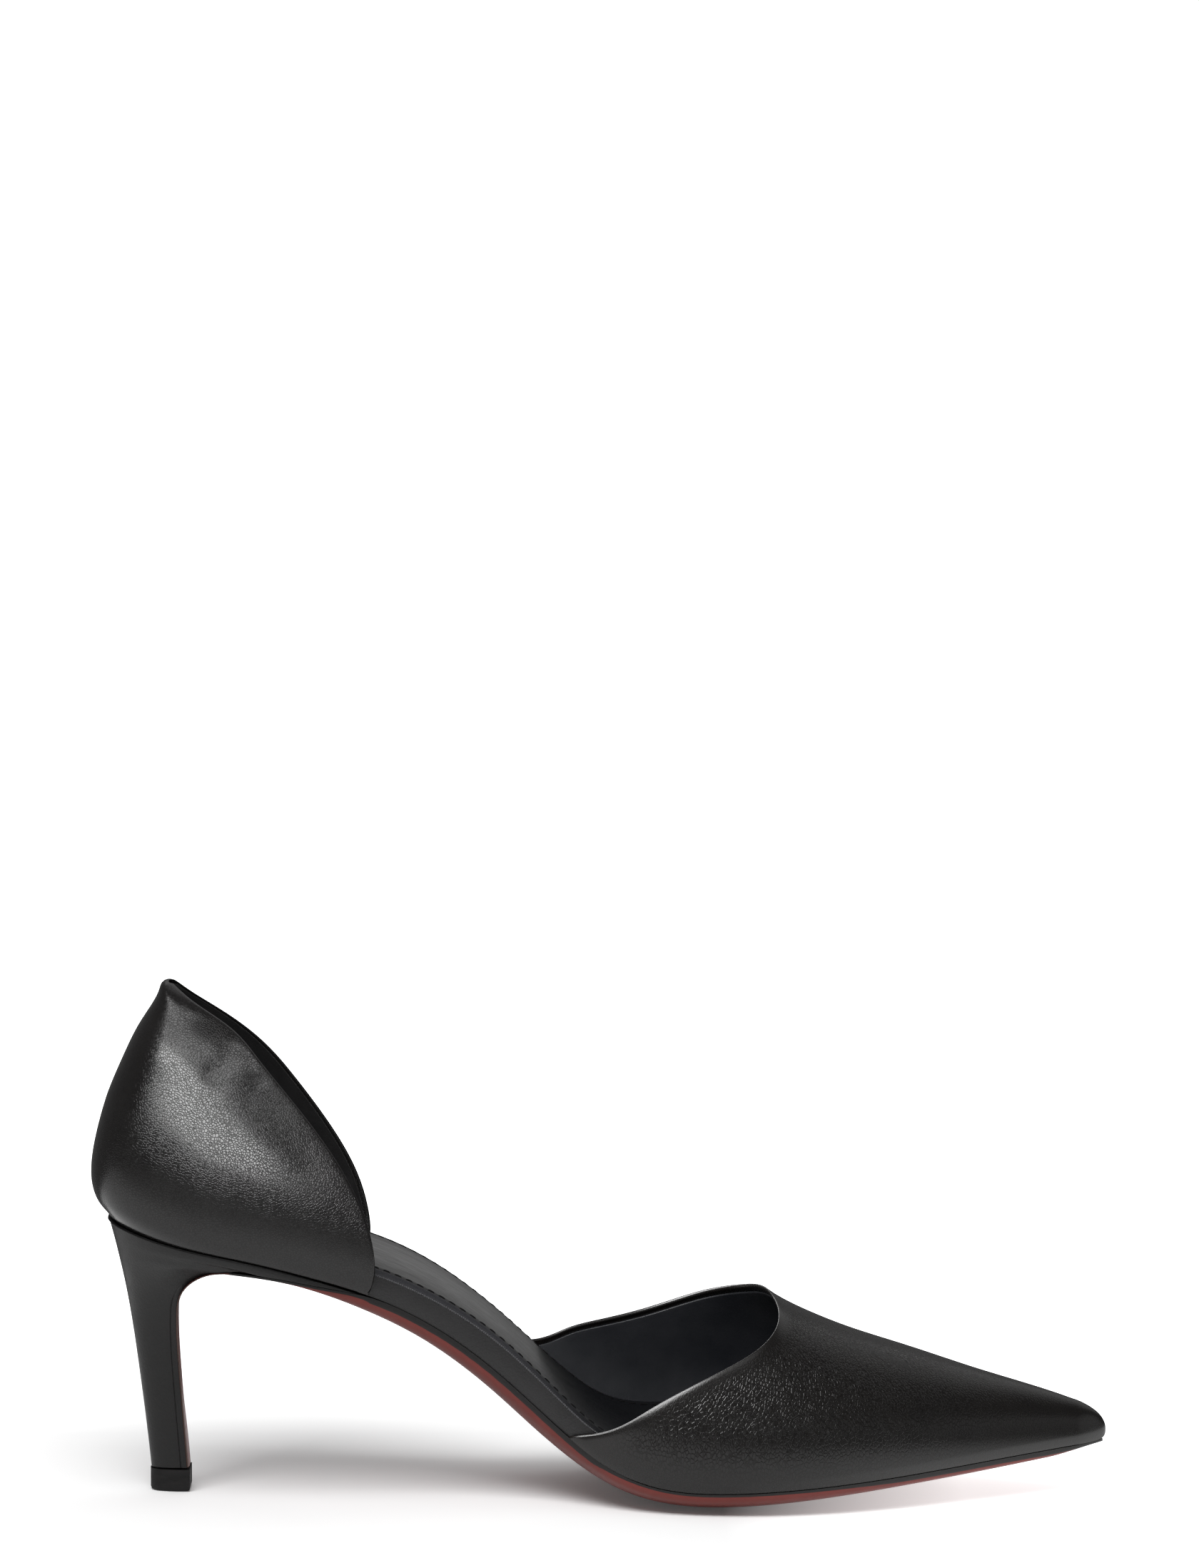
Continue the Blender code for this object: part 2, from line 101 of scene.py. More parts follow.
SEAT = (
    ("along", "rise", "twist", "inner", "outer"),
    (0.016, 1.004, 0.0, 0.315, 0.315),
    (0.08, 0.938, 0.006, 0.315, 0.315),
    (0.16, 0.876, 0.012, 0.32, 0.323),
    (0.224, 0.815, 0.021, 0.309, 0.317),
    (0.28, 0.746, 0.026, 0.288, 0.309),
    (0.336, 0.642, 0.018, 0.267, 0.31),
    (0.392, 0.496, -0.003, 0.263, 0.322),
    (0.448, 0.317, -0.017, 0.296, 0.353),
    (0.504, 0.163, -0.01, 0.378, 0.403),
    (0.56, 0.092, -0.003, 0.455, 0.455),
    (0.616, 0.081, 0.0, 0.493, 0.488),
    (0.7, 0.095, 0.0, 0.48, 0.455),
    (0.8, 0.122, 0.0, 0.371, 0.33),
    (0.9, 0.153, 0.0, 0.208, 0.17),
    (1.0, 0.184, 0.0, 0.05, 0.03),
)

# Vamp: ridge height as a share of the instep height, and fullness of the section

RIDGE = (
    ("along", "ridge", "fullness"),
    (0.38, 1.76, 2.4),
    (0.48, 1.44, 2.4),
    (0.56, 1.215, 2.4),
    (0.62, 1.07, 2.4),
    (0.674, 0.957, 2.4),
    (0.744, 0.817, 2.35),
    (0.8, 0.73, 2.25),
    (0.872, 0.613, 2.15),
    (0.958, 0.477, 2.05),
    (0.983, 0.437, 2.02),
    (1.0, 0.426, 2.0),
)

# Vamp top edge: where the wall begins for each turn from the inner seat edge (0) to the outer (1)

TOPLINE = (
    ("turn", "along"),
    (0.0, 0.47),
    (0.03, 0.503),
    (0.09, 0.55),
    (0.167, 0.606),
    (0.25, 0.652),
    (0.3, 0.6665),
    (0.345, 0.6732),
    (0.385, 0.675),
    (0.43, 0.674),
    (0.48, 0.6702),
    (0.53, 0.6642),
    (0.58, 0.656),
    (0.64, 0.642),
    (0.73, 0.603),
    (0.825, 0.542),
    (0.91, 0.4715),
    (0.967, 0.4315),
    (1.0, 0.396),
)

# Heel quarter: level as a share of the back height, ends as shares of the length, spread against
# the seat outline

QUARTER = (
    ("level", "back", "inner_front", "outer_front", "spread"),
    (0.0, 0.0156, 0.2744, 0.2665, 1.0),
    (0.08, 0.0042, 0.2804, 0.271, 1.05),
    (0.195, 0.0, 0.28, 0.269, 1.075),
    (0.325, 0.005, 0.2704, 0.2585, 1.06),
    (0.49, 0.0166, 0.2448, 0.233, 0.98),
    (0.66, 0.0326, 0.2048, 0.198, 0.85),
    (0.805, 0.0486, 0.1664, 0.161, 0.69),
    (0.905, 0.0622, 0.1332, 0.1215, 0.48),
    (0.965, 0.0682, 0.099, 0.0935, 0.32),
    (0.985, 0.0703, 0.0892, 0.087, 0.22),
    (1.0, 0.0745, 0.0822, 0.082, 0.12),
)

# Outsole: depth of the keel below the seat edge, upright edge, flatness of the underside, heel lip

SOLE = (
    ("along", "depth", "edge", "flatness", "lip"),
    (0.144, 4.3, 0.3, 4.0, 3.45),
    (0.168, 3.85, 0.3, 3.6, 2.9),
    (0.2, 3.7, 0.35, 3.0, 2.2),
    (0.24, 4.7, 0.7, 2.8, 1.3),
    (0.268, 5.7, 1.0, 2.8, 0.4),
    (0.324, 6.5, 1.1, 3.0, 0.0),
    (0.36, 7.0, 1.1, 3.0, 0.0),
    (0.4, 7.4, 1.1, 3.0, 0.0),
    (0.44, 7.5, 1.1, 2.9, 0.0),
    (0.472, 7.0, 1.1, 2.8, 0.0),
    (0.504, 6.4, 1.1, 2.6, 0.0),
    (0.56, 6.0, 1.0, 2.4, 0.0),
    (0.616, 6.1, 0.9, 2.4, 0.0),
    (0.66, 5.7, 0.9, 2.5, 0.0),
    (0.748, 4.3, 0.9, 2.8, 0.0),
    (0.8, 3.6, 0.9, 3.0, 0.0),
    (0.9, 2.8, 0.9, 3.2, 0.0),
    (1.0, 1.4, 0.7, 3.2, 0.0),
)

# Sole flap down the heel breast: its outer face in side view and its half width

BREAST = (
    (33.5, 56.6, 20.4),
    (30.2, 56.1, 18.8),
    (26.9, 54.6, 16.4),
    (24.1, 52.2, 13.6),
    (22.3, 49.1, 11.0),
    (21.7, 45.2, 9.2),
    (21.6, 40.0, 7.6),
    (22.1, 29.0, 5.8),
    (23.0, 16.5, 4.9),
    (23.8, 6.0, 4.5),
)

# Heel: back end of each section in side view, place of its front end along the breast and lip line,
# half width, and how far it already follows the seat outline

HEEL = (
    ("step", "back_x", "back_z", "front", "half", "seat_share"),
    (0.0, 14.3, 5.8, 0.0, 4.8, 0.0),
    (1.0, 13.2, 16.0, 0.117, 5.2, 0.0),
    (2.0, 11.8, 27.5, 0.255, 6.0, 0.0),
    (3.0, 10.2, 39.5, 0.39, 7.6, 0.0),
    (4.0, 8.7, 48.8, 0.5, 10.4, 0.08),
    (5.0, 7.3, 55.6, 0.58, 14.2, 0.28),
    (6.0, 5.9, 61.4, 0.68, 18.6, 0.6),
    (7.0, 4.7, 65.8, 0.84, 22.0, 0.88),
    (8.0, 4.0, 68.2, 1.0, 23.2, 1.0),
)
LIP_END = 66.0
LIP_POINTS = 5
HEEL_SECTION_FULLNESS = 2.5

# Finer sizes that only the looks need; a pair is where a change starts and where it is complete

LEATHER = 1.1
LINING_GAP = 0.04
LINING = (LEATHER + LINING_GAP, WALL - LEATHER - LINING_GAP)
VAMP_TURNED_EDGE = 1.5
QUARTER_TURNED_EDGE = 1.2
EDGE_STEPS = np.array((0.0, 0.03, 0.12, 0.27, 0.47, 0.72, 1.0))
VAMP_GAP = 0.1
FEATHER_ROLL = 0.7
FEATHER_HEIGHT = 2.8
QUARTER_ROLL = 1.1
QUARTER_ROLL_HEIGHT = 4.5
QUARTER_HALF = 0.32
EDGE_CROWN = 0.5
EDGE_CROWN_REACH = 0.8

TOE_SMOOTHNESS = 0.65
TOE_SMOOTH = (180.0, 240.0)
LOW_GRAIN = 0.15
LOW_GRAIN_RISE = (3.0, 14.0)
WING_GRAIN = 0.3
WING_END = (116.0, 138.0)
EDGE_GRAIN = 0.1
EDGE_ROWS = (6.0, 11.0)
QUARTER_LOW_GRAIN = 0.3
QUARTER_GRAIN_RISE = (3.0, 24.0)

SOCK_EDGE_RADIUS = 1.0
SOCK_EDGE_DROP = 1.25
SOCK_LAP = 0.18
SOCK_DOME = 0.5
SOCK_FULL_HALF = 8.0
SOCK_LEAST_HALF = 0.3
# Where the sock runs in under the vamp, and where its painted shade comes in
SOCK_SHADE_UNDER_VAMP = (100.0, 126.0)
CREASE_INSIDE = 1.35
CREASE_WIDTH = 0.22
CREASE_DEPTH = 0.3
FOLDS_INSIDE = (0.5, 0.9)
FOLD_WIDTH = 0.11
FOLD_DEPTH = 0.1
STITCH_INSIDE = 2.2
STITCH_PITCH = 3.0
STITCH_LENGTH = 1.9
STITCH_RADIUS = 0.3
STITCH_PROUD = 0.12
STITCH_ENDS = (24.0, 196.0)
CHANNEL_WIDTH = 0.4
CHANNEL_DEPTH = 0.22
BAND_BULGE = 0.2
BAND_GAP = 0.08
BAND_TOP_GAP = 0.05
BEAD_RADIUS = 0.22
BEAD_PITCH = 0.55
BEAD_WAVE = 0.4
BEAD_INSIDE = 0.05
BEAD_DROP = 0.15
BEAD_ENDS = (60.0, 140.0)

PAINTED_WAIST = 1.75
PAINTED_WAIST_START = (62.0, 78.0)
PAINTED_FORE = 0.4
PAINTED_TOE = 1.0
PAINTED_TOE_START = (165.0, 215.0)
PAINT_FADE = 0.4
RAW_EDGE = (0.86, 0.97)
SOLE_TIP_THINNING = 0.6
SOLE_TIP_REACH = 14.0
COVER_LAP = 1.4
COVER_LAP_STEP = 0.15
COVER_LAP_END = (3.6, 4.4)
COVER_GROOVE = 0.14
COVER_GROOVE_WIDTH = 0.14
COVER_GAP = 0.05
BREAST_YAW = 0.045
BREAST_YAW_START = (8.0, 25.0)
BREAST_YAW_END = (48.0, 55.0)
SEAM_ROUND = 0.4
SEAM_REACH = 4.0
SEAM_FADE = (40.0, 62.0)

# Creases of the quarter in side view: width, depth (minus for a trough) and the line they follow

CREASE_ROOM = (2.0, 8.0)
INNER_CREASES = (
    (2.4, -0.2, ((22.2, 122.5), (24.7, 119.6), (30.0, 117.4))),
    (2.3, -0.42, ((31.2, 106.8), (33.6, 107.8), (35.4, 110.4))),
    (2.0, -0.24, ((33.6, 112.6), (36.0, 115.6))),
    (2.6, 0.12, ((35.0, 107.6), (37.6, 105.2))),
    (1.5, -0.1, ((21.0, 115.0), (22.8, 116.2))),
    (3.0, 0.18, ((18.6, 118.4), (19.4, 117.2))),
    (2.6, 0.16, ((25.8, 113.0), (28.2, 112.0))),
    (1.0, -0.12, ((35.0, 108.2), (40.0, 107.4))),
    (0.9, -0.12, ((36.6, 111.4), (39.6, 109.8))),
    (1.0, -0.12, ((37.0, 105.4), (43.0, 104.0))),
    (3.8, -0.2, ((40.8, 101.4), (54.0, 85.8))),
    (3.0, 0.1, ((50.6, 98.4), (62.6, 80.0))),
)
OUTER_CREASES = (
    (1.9, -0.4, ((28.0, 113.0), (31.0, 110.0), (30.0, 107.0))),
    (3.6, -0.3, ((36.0, 102.0), (50.0, 84.0))),
    (3.0, 0.2, ((44.0, 99.0), (56.0, 80.0))),
)

# Smooth curves through table columns


def spline(knots, values):
    x = np.array(knots, dtype=float)
    y = np.array(values, dtype=float)
    count = len(x)
    step = np.diff(x)
    matrix = np.eye(count)
    right = np.zeros(count)
    for i in range(1, count - 1):
        matrix[i, i - 1] = step[i - 1]
        matrix[i, i] = 2.0 * (step[i - 1] + step[i])
        matrix[i, i + 1] = step[i]
        right[i] = 3.0 * ((y[i + 1] - y[i]) / step[i] - (y[i] - y[i - 1]) / step[i - 1])
    second = np.linalg.solve(matrix, right)
    first = np.diff(y) / step - step * (2.0 * second[:-1] + second[1:]) / 3.0
    third = np.diff(second) / (3.0 * step)

    def value(at):
        inside = np.clip(np.asarray(at, dtype=float), x[0], x[-1])
        i = np.clip(np.searchsorted(x, inside) - 1, 0, count - 2)
        t = inside - x[i]
        return y[i] + t * (first[i] + t * (second[i] + t * third[i]))

    return value


def table_curves(table):
    # A curve over the first column for each of the others
    rows = np.array(table[1:])
    return {name: spline(rows[:, 0], rows[:, i]) for i, name in enumerate(table[0]) if i > 0}


seat = table_curves(SEAT)
ridge = table_curves(RIDGE)
topline = table_curves(TOPLINE)
quarter = table_curves(QUARTER)
sole = table_curves(SOLE)
heel = table_curves(HEEL)


def unit(vectors):
    return vectors / np.linalg.norm(vectors, axis=-1, keepdims=True)


def xyz(x, y, z):
    return np.stack(np.broadcast_arrays(x, y, z), axis=-1)


def steps(count):
    return np.linspace(0.0, 1.0, count + 1)


def blend(start, end, share):
    return start + (end - start) * share


def ease(value, start, end):
    share = np.clip((value - start) / (end - start), 0.0, 1.0)
    return share * share * (3.0 - 2.0 * share)


def bump_at(value, centre, width):
    return np.exp(-(((value - centre) / width) ** 2))


def chord_shares(points):
    lengths = np.linalg.norm(np.diff(np.array(points), axis=0), axis=1)
    total = np.concatenate(([0.0], np.cumsum(lengths)))
    return total / total[-1]


# Shape of the last


def seat_z(x, share):
    along = x / LENGTH
    return HEEL_HEIGHT * (seat["rise"](along) + seat["twist"](along) * 0.5 * (1.0 + share))


def heel_round(x, back):
    reach = np.clip((x - back) / HEEL_RADIUS, 0.0, 1.0)
    return (1.0 - (1.0 - reach) ** HEEL_FULLNESS) ** (1.0 / HEEL_FULLNESS)


def nose_reach(x, tip):
    return np.clip((x - tip + NOSE_LENGTH) / NOSE_LENGTH, 0.0, 1.0)


def nose_round(x, tip):
    return np.sqrt(1.0 - nose_reach(x, tip) ** 2)


def tip_of(inset):
    return LENGTH - inset * TIP_STRETCH


def outline(x, share, inset=0.0, back=None, tip=None):
    along = x / LENGTH
    inner = BALL_WIDTH * seat["inner"](along)
    outer = BALL_WIDTH * seat["outer"](along)
    back = SEAT_BACK + inset if back is None else back
    tip = tip_of(inset) if tip is None else tip
    half = np.maximum(0.5 * (inner + outer) - inset * SLANT, 0.3)
    return 0.5 * (outer - inner) + share * half * heel_round(x, back) * nose_round(x, tip)


# Meshes


def grid_faces(rows, columns, offset=0, closed=False):
    faces = []
    last = columns if closed else columns - 1
    for i in range(rows - 1):
        for j in range(last):
            a = offset + i * columns + j
            b = offset + i * columns + (j + 1) % columns
            faces.append((a, b, b + columns, a + columns))
    return faces


def shell_faces(rows, columns):
    size = rows * columns
    faces = grid_faces(rows, columns) + grid_faces(rows, columns, size)
    ends = (range(columns), range(size - columns, size))
    sides = (range(0, size, columns), range(columns - 1, size, columns))
    for rim in ends + sides:
        faces += [(a, b, b + size, a + size) for a, b in zip(rim, rim[1:])]
    return faces


def loft_faces(rings, points, offset=0):
    faces = grid_faces(rings, points, offset, closed=True)
    for start in (offset, offset + (rings - 1) * points):
        for i in range(points // 2 - 1):
            faces.append((start + i, start + i + 1, start + points - 2 - i, start + points - 1 - i))
    return faces


def place(points):
    moved = np.array(points, dtype=float).reshape(-1, 3)
    moved[:, 0] -= 0.5 * LENGTH
    return moved * MM


def add_object(name, data):
    made = bpy.data.objects.new(name, data)
    bpy.context.scene.collection.objects.link(made)
    return made


def make_piece(name, points, faces, material, sharp=50.0, marks=None):
    mesh = bpy.data.meshes.new(name)
    mesh.from_pydata(place(points).tolist(), [], faces)
    for mark, values in (marks or {}).items():
        layer = mesh.attributes.new(mark, "FLOAT", "POINT")
        layer.data.foreach_set("value", np.asarray(values, dtype=np.float32).ravel())
    work = bmesh.new()
    work.from_mesh(mesh)
    bmesh.ops.remove_doubles(work, verts=work.verts, dist=2e-7)
    bmesh.ops.dissolve_degenerate(work, edges=work.edges, dist=1e-8)
    bmesh.ops.recalc_face_normals(work, faces=work.faces)
    work.to_mesh(mesh)
    work.free()
    mesh.materials.append(material)
    mesh.shade_smooth()
    mesh.set_sharp_from_angle(angle=math.radians(sharp))
    piece = add_object(name, mesh)
    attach(piece, "root")
    return piece


def make_loft(name, rings, material, sharp=50.0, marks=None):
    rings = np.array(rings)
    return make_piece(name, rings, loft_faces(*rings.shape[:2]), material, sharp, marks)


def add_bevel(piece, width, degrees):
    bevel = piece.modifiers.new("edge", "BEVEL")
    bevel.width = width * MM
    bevel.segments = 3
    bevel.limit_method = "ANGLE"
    bevel.angle_limit = math.radians(degrees)


# Materials

NOISE_RANGE = (0.3, 0.7)
PEBBLE_SHINE = 0.43


class Nodes:
    # Short way to build one material's node tree

    def __init__(self, name):
        self.material = bpy.data.materials.new(name)
        self.material.use_nodes = True
        self.tree = self.material.node_tree
        self.shader = self.tree.nodes["Principled BSDF"]

    def put(self, socket, value):
        if isinstance(value, bpy.types.NodeSocket):
            self.tree.links.new(value, socket)
        else:
            socket.default_value = value

    def add(self, kind, inputs=None, **settings):
        node = self.tree.nodes.new("ShaderNode" + kind)
        for key, value in settings.items():
            setattr(node, key, value)
        for key, value in (inputs or {}).items():
            self.put(node.inputs[key], value)
        return node

    def math(self, operation, first, second):
        return self.add("Math", {0: first, 1: second}, operation=operation).outputs[0]

    def spread(self, value, low, high, to_low=0.0, to_high=1.0, way="LINEAR"):
        inputs = {"Value": value, "From Min": low, "From Max": high, "To Min": to_low, "To Max": to_high}
        return self.add("MapRange", inputs, clamp=True, interpolation_type=way).outputs["Result"]

    def patchy(self, noise, to_low=0.0, to_high=1.0):
        return self.spread(noise, *NOISE_RANGE, to_low, to_high)

    def mix(self, share, first, second):
        # Plain colours come as red, green and blue
        colours = [(*colour, 1.0) if isinstance(colour, tuple) else colour for colour in (first, second)]
        return self.add("Mix", {0: share, 6: colours[0], 7: colours[1]}, data_type="RGBA").outputs[2]

    def mark(self, name):
        return self.add("Attribute", attribute_name=name).outputs["Fac"]

    def place(self, stretch=(1.0, 1.0, 1.0)):
        coordinates = self.add("TexCoord").outputs["Object"]
        return self.add("Mapping", {"Vector": coordinates, "Scale": stretch}).outputs[0]

    def noise(self, place, size, detail=3.0, roughness=0.5, output="Fac"):
        inputs = {"Vector": place, "Scale": 1.0 / (size * MM), "Detail": detail, "Roughness": roughness}
        return self.add("TexNoise", inputs).outputs[output]

    def cells(self, place, size):
        inputs = {"Vector": place, "Scale": 1.0 / (size * MM), "Randomness": 1.0}
        return self.add("TexVoronoi", inputs, feature="DISTANCE_TO_EDGE").outputs["Distance"]

    def vectors(self, operation, inputs):
        return self.add("VectorMath", inputs, operation=operation).outputs[0]

    def warped(self, place, size, amount):
        noise = self.noise(place, size, 2.0, output="Color")
        centred = self.vectors("SUBTRACT", {0: noise, 1: (0.5, 0.5, 0.5)})
        return self.vectors("ADD", {0: place, 1: self.vectors("SCALE", {0: centred, "Scale": amount * MM})})

    def bump(self, height, depth, strength=1.0, normal=None):
        inputs = {"Height": height, "Distance": depth * MM, "Strength": strength}
        if normal is not None:
            inputs["Normal"] = normal
        return self.add("Bump", inputs).outputs["Normal"]

    def finish(self, inputs):
        for key, value in inputs.items():
            self.put(self.shader.inputs[key], value)
        return self.material


def grained_leather(name, dark, light, rough, grain, depth, stretch, dull):
    # Pebbles of leather with valleys between them that shine less, by the specular level named dull
    n = Nodes(name)
    place = n.place(stretch)
    bent = n.warped(place, 2.0 * grain, 0.4 * grain)
    pebbles = n.spread(n.cells(bent, grain), 0.0, 0.2, 0.0, 1.0, "SMOOTHSTEP")
    uneven = n.math("MULTIPLY", n.noise(bent, 1.5 * grain, 2.0), 0.4)
    grained = n.mark("grain")
    normal = n.bump(n.math("ADD", pebbles, uneven), depth, grained)
    valley = n.math("MULTIPLY", n.math("SUBTRACT", 1.0, pebbles), grained)
    shine = n.spread(valley, 0.0, 1.0, PEBBLE_SHINE, dull)
    patch = n.noise(place, 9.0, 4.0, 0.6)
    gloss = n.math("SUBTRACT", n.patchy(patch, rough, rough + 0.04), n.math("MULTIPLY", pebbles, 0.03))
    return n.finish({"Base Color": n.mix(n.patchy(patch), dark, light), "Roughness": gloss, "Normal": normal,
                     "Specular IOR Level": shine, "Coat Weight": 0.05, "Coat Roughness": 0.3})


def smooth_leather(name, dark, light, rough, pore, depth, shine):
    n = Nodes(name)
    place = n.place()
    fine = n.math("MULTIPLY", n.noise(place, pore, 4.0, 0.65), 0.6)
    pores = n.cells(n.warped(place, 2.0, 0.4), 2.2 * pore)
    height = n.math("ADD", fine, n.spread(pores, 0.0, 0.2, 0.0, 0.4))
    patch = n.noise(place, 12.0, 4.0, 0.6)
    gloss = n.patchy(patch, rough - 0.05, rough + 0.05)
    return n.finish({"Base Color": n.mix(n.patchy(patch), dark, light), "Roughness": gloss,
                     "Normal": n.bump(height, depth), "Specular IOR Level": shine})


def sock_leather(name, dark, light, rim, vamp_shade):
    n = Nodes(name)
    fine = n.noise(n.place(), 0.3, 4.0, 0.65)
    drawn = n.noise(n.place((0.25, 1.0, 1.0)), 4.0, 3.0)
    colour = n.mix(n.spread(drawn, 0.35, 0.65), dark, light)
    # The sock is painted darker where it runs in under the vamp: painted shade of the vamp over it
    colour = n.mix(n.mark("vamp_shade"), n.mix(n.mark("rim"), colour, rim), vamp_shade)
    gloss = n.math("ADD", n.patchy(drawn, 0.36, 0.44), n.math("MULTIPLY", n.mark("groove"), 0.35))
    normal = n.bump(fine, 0.02, 1.0, n.bump(drawn, 0.35))
    return n.finish({"Base Color": colour, "Roughness": gloss, "Normal": normal, "Specular IOR Level": 0.5})


def napped_lining(name, dark, light):
    n = Nodes(name)
    place = n.place()
    nap = n.noise(place, 0.35, 5.0, 0.7)
    colour = n.mix(n.patchy(n.noise(place, 6.0, 3.0)), dark, light)
    return n.finish({"Base Color": colour, "Roughness": n.patchy(nap, 0.8, 0.95),
                     "Normal": n.bump(nap, 0.08), "Specular IOR Level": 0.25, "Sheen Weight": 0.1,
                     "Sheen Roughness": 0.5})


def sole_leather(name, dark, light, raw, paint):
    # Red leather with raw edges on the flap and a painted edge that wobbles a little
    n = Nodes(name)
    fibre = n.noise(n.place((0.35, 1.0, 1.0)), 0.9, 5.0, 0.6)
    red = n.mix(n.patchy(n.noise(n.place(), 10.0, 4.0, 0.6)), dark, light)
    wobble = n.math("MULTIPLY", n.math("SUBTRACT", n.noise(n.place(), 2.5), 0.5), 0.2)
    edge = n.spread(n.math("ADD", n.mark("paint"), wobble), 0.42, 0.58)
    colour = n.mix(edge, n.mix(n.mark("raw"), red, raw), paint)
    return n.finish({"Base Color": colour, "Roughness": n.patchy(fibre, 0.36, 0.46),
                     "Normal": n.bump(fibre, 0.03), "Specular IOR Level": 0.35, "Coat Weight": 0.05,
                     "Coat Roughness": 0.25})


def rubber(name, dark, light):
    n = Nodes(name)
    fine = n.noise(n.place(), 0.3, 4.0, 0.6)
    scuff = n.noise(n.place((1.0, 1.0, 4.0)), 3.0, 4.0)
    colour = n.mix(n.spread(scuff, 0.35, 0.7), dark, light)
    return n.finish({"Base Color": colour, "Roughness": n.patchy(scuff, 0.55, 0.7),
                     "Normal": n.bump(fine, 0.04), "Specular IOR Level": 0.2})


def thread(name, dark, light):
    n = Nodes(name)
    twist = n.noise(n.place((3.0, 3.0, 3.0)), 0.6, 3.0)
    return n.finish({"Base Color": n.mix(n.patchy(twist), dark, light), "Normal": n.bump(twist, 0.05),
                     "Roughness": 0.85, "Specular IOR Level": 0.2})


VAMP_LEATHER = grained_leather("vamp_leather", (0.0021, 0.0018, 0.0017), (0.0028, 0.0024, 0.0022),
                               0.26, 0.74, 0.06, (1.0, 1.0, 0.6), 0.19)
QUARTER_LEATHER = grained_leather("quarter_leather", (0.0024, 0.0022, 0.0022), (0.0034, 0.0032, 0.0031),
                                  0.19, 0.6, 0.018, (1.0, 1.0, 1.0), 0.15)
HEEL_LEATHER = smooth_leather("heel_leather", (0.003, 0.0029, 0.0029), (0.0046, 0.0044, 0.0044),
                              0.46, 0.5, 0.04, 0.38)
BAND_LEATHER = smooth_leather("band_leather", (0.008, 0.0078, 0.008), (0.012, 0.0115, 0.012),
                              0.48, 0.4, 0.065, 0.5)
VAMP_LINING = smooth_leather("vamp_lining", (0.0031, 0.0035, 0.0047), (0.0046, 0.005, 0.0063),
                             0.48, 0.4, 0.02, 0.42)
# The last colour is painted shade, for the sock where it runs in under the vamp
SOCK_LEATHER = sock_leather("sock_leather", (0.008, 0.0079, 0.0078), (0.018, 0.0176, 0.0174),
                            (0.016, 0.016, 0.0185), (0.0036, 0.0038, 0.0046))
QUARTER_LINING = napped_lining("quarter_lining", (0.0055, 0.0053, 0.0055), (0.011, 0.0105, 0.0107))
SOLE_LEATHER = sole_leather("sole_leather", (0.096, 0.0128, 0.0092), (0.116, 0.0172, 0.0128),
                            (0.04, 0.024, 0.017), (0.006, 0.0054, 0.0054))
LIFT_RUBBER = rubber("lift_rubber", (0.006, 0.006, 0.006), (0.012, 0.0115, 0.0115))
THREAD = thread("sock_thread", (0.003, 0.003, 0.0032), (0.007, 0.007, 0.0075))
BEAD_THREAD = thread("bead_thread", (0.03, 0.03, 0.032), (0.09, 0.09, 0.095))

# Vamp

VAMP_ROWS = 150
VAMP_TURNS = 170


def edge_round(distance, thickness):
    radius = 0.5 * thickness
    reach = np.clip(1.0 - distance / radius, 0.0, 1.0)
    return radius * (1.0 - np.sqrt(1.0 - reach ** 2))


def make_layer(name, grid, first_inset, thickness, drop, grain, material):
    # One layer of an upper: first_inset is its outer face, drop its distance from the upper's edge
    points = np.stack([grid(first_inset, thickness, drop, inner) for inner in (False, True)])
    above = points[..., 2] - seat_z(points[..., 0], 0.0)
    return make_piece(name, points, shell_faces(*points.shape[1:3]), material,
                      marks={"grain": grain(points, above)})


def throat_x(turn):
    return LENGTH * topline["along"](turn)


def vamp_surface(x, turn, start, inset):
    angle = np.pi * turn
    fullness = 2.0 / ridge["fullness"](x / LENGTH)
    across = -np.sign(np.cos(angle)) * np.abs(np.cos(angle)) ** fullness
    lift = np.maximum(np.sin(angle), 0.0) ** fullness
    tip = tip_of(inset)
    round_share = nose_round(x, tip)
    blunt_share = np.sqrt(1.0 - nose_reach(x, tip) ** NOSE_BLUNTNESS)
    base = blend(NOSE_HEIGHT, seat_z(x, across) + VAMP_GAP, blunt_share)
    flare = THROAT_LIFT * np.exp(-(x - start) / THROAT_LIFT_REACH)
    crest = INSTEP * ridge["ridge"](x / LENGTH) + flare - inset * SLANT
    top = blend(NOSE_HEIGHT, crest, round_share)
    height = (top - base) * lift
    left = outline(x, -1.0, inset)
    right = outline(x, 1.0, inset)
    level = height / BULGE_REACH
    swell = np.sin(0.5 * np.pi * np.clip(level, 0.0, 2.0)) ** 2 * np.exp(-level)
    swell = 2.0 * swell * np.clip((top - base) / BULGE_FULL_HEIGHT, 0.0, 1.0)
    roll = FEATHER_ROLL * np.clip(1.0 - height / FEATHER_HEIGHT, 0.0, 1.0) ** 2
    crown = EDGE_CROWN * np.exp(-(x - start) / EDGE_CROWN_REACH)
    half = 0.5 * (right - left) + (VAMP_BULGE * swell - roll - crown) * round_share
    return xyz(x, 0.5 * (left + right) + half * across, base + height)


def topline_stretch(turn):
    # Way to go in x for one millimetre square to the top edge
    step = 0.002
    ends = [np.clip(turn + way * step, 0.0, 1.0) for way in (-1.0, 1.0)]
    points = [vamp_surface(throat_x(t), t, throat_x(t), 0.0) for t in ends]
    along = unit(points[1] - points[0])
    start = throat_x(turn)
    forward = 2.0 * (vamp_surface(start + 0.5, turn, start, 0.0) - vamp_surface(start, turn, start, 0.0))
    square = forward - along * np.sum(forward * along, axis=-1, keepdims=True)
    return 1.0 / np.maximum(np.linalg.norm(square, axis=-1), 0.35)


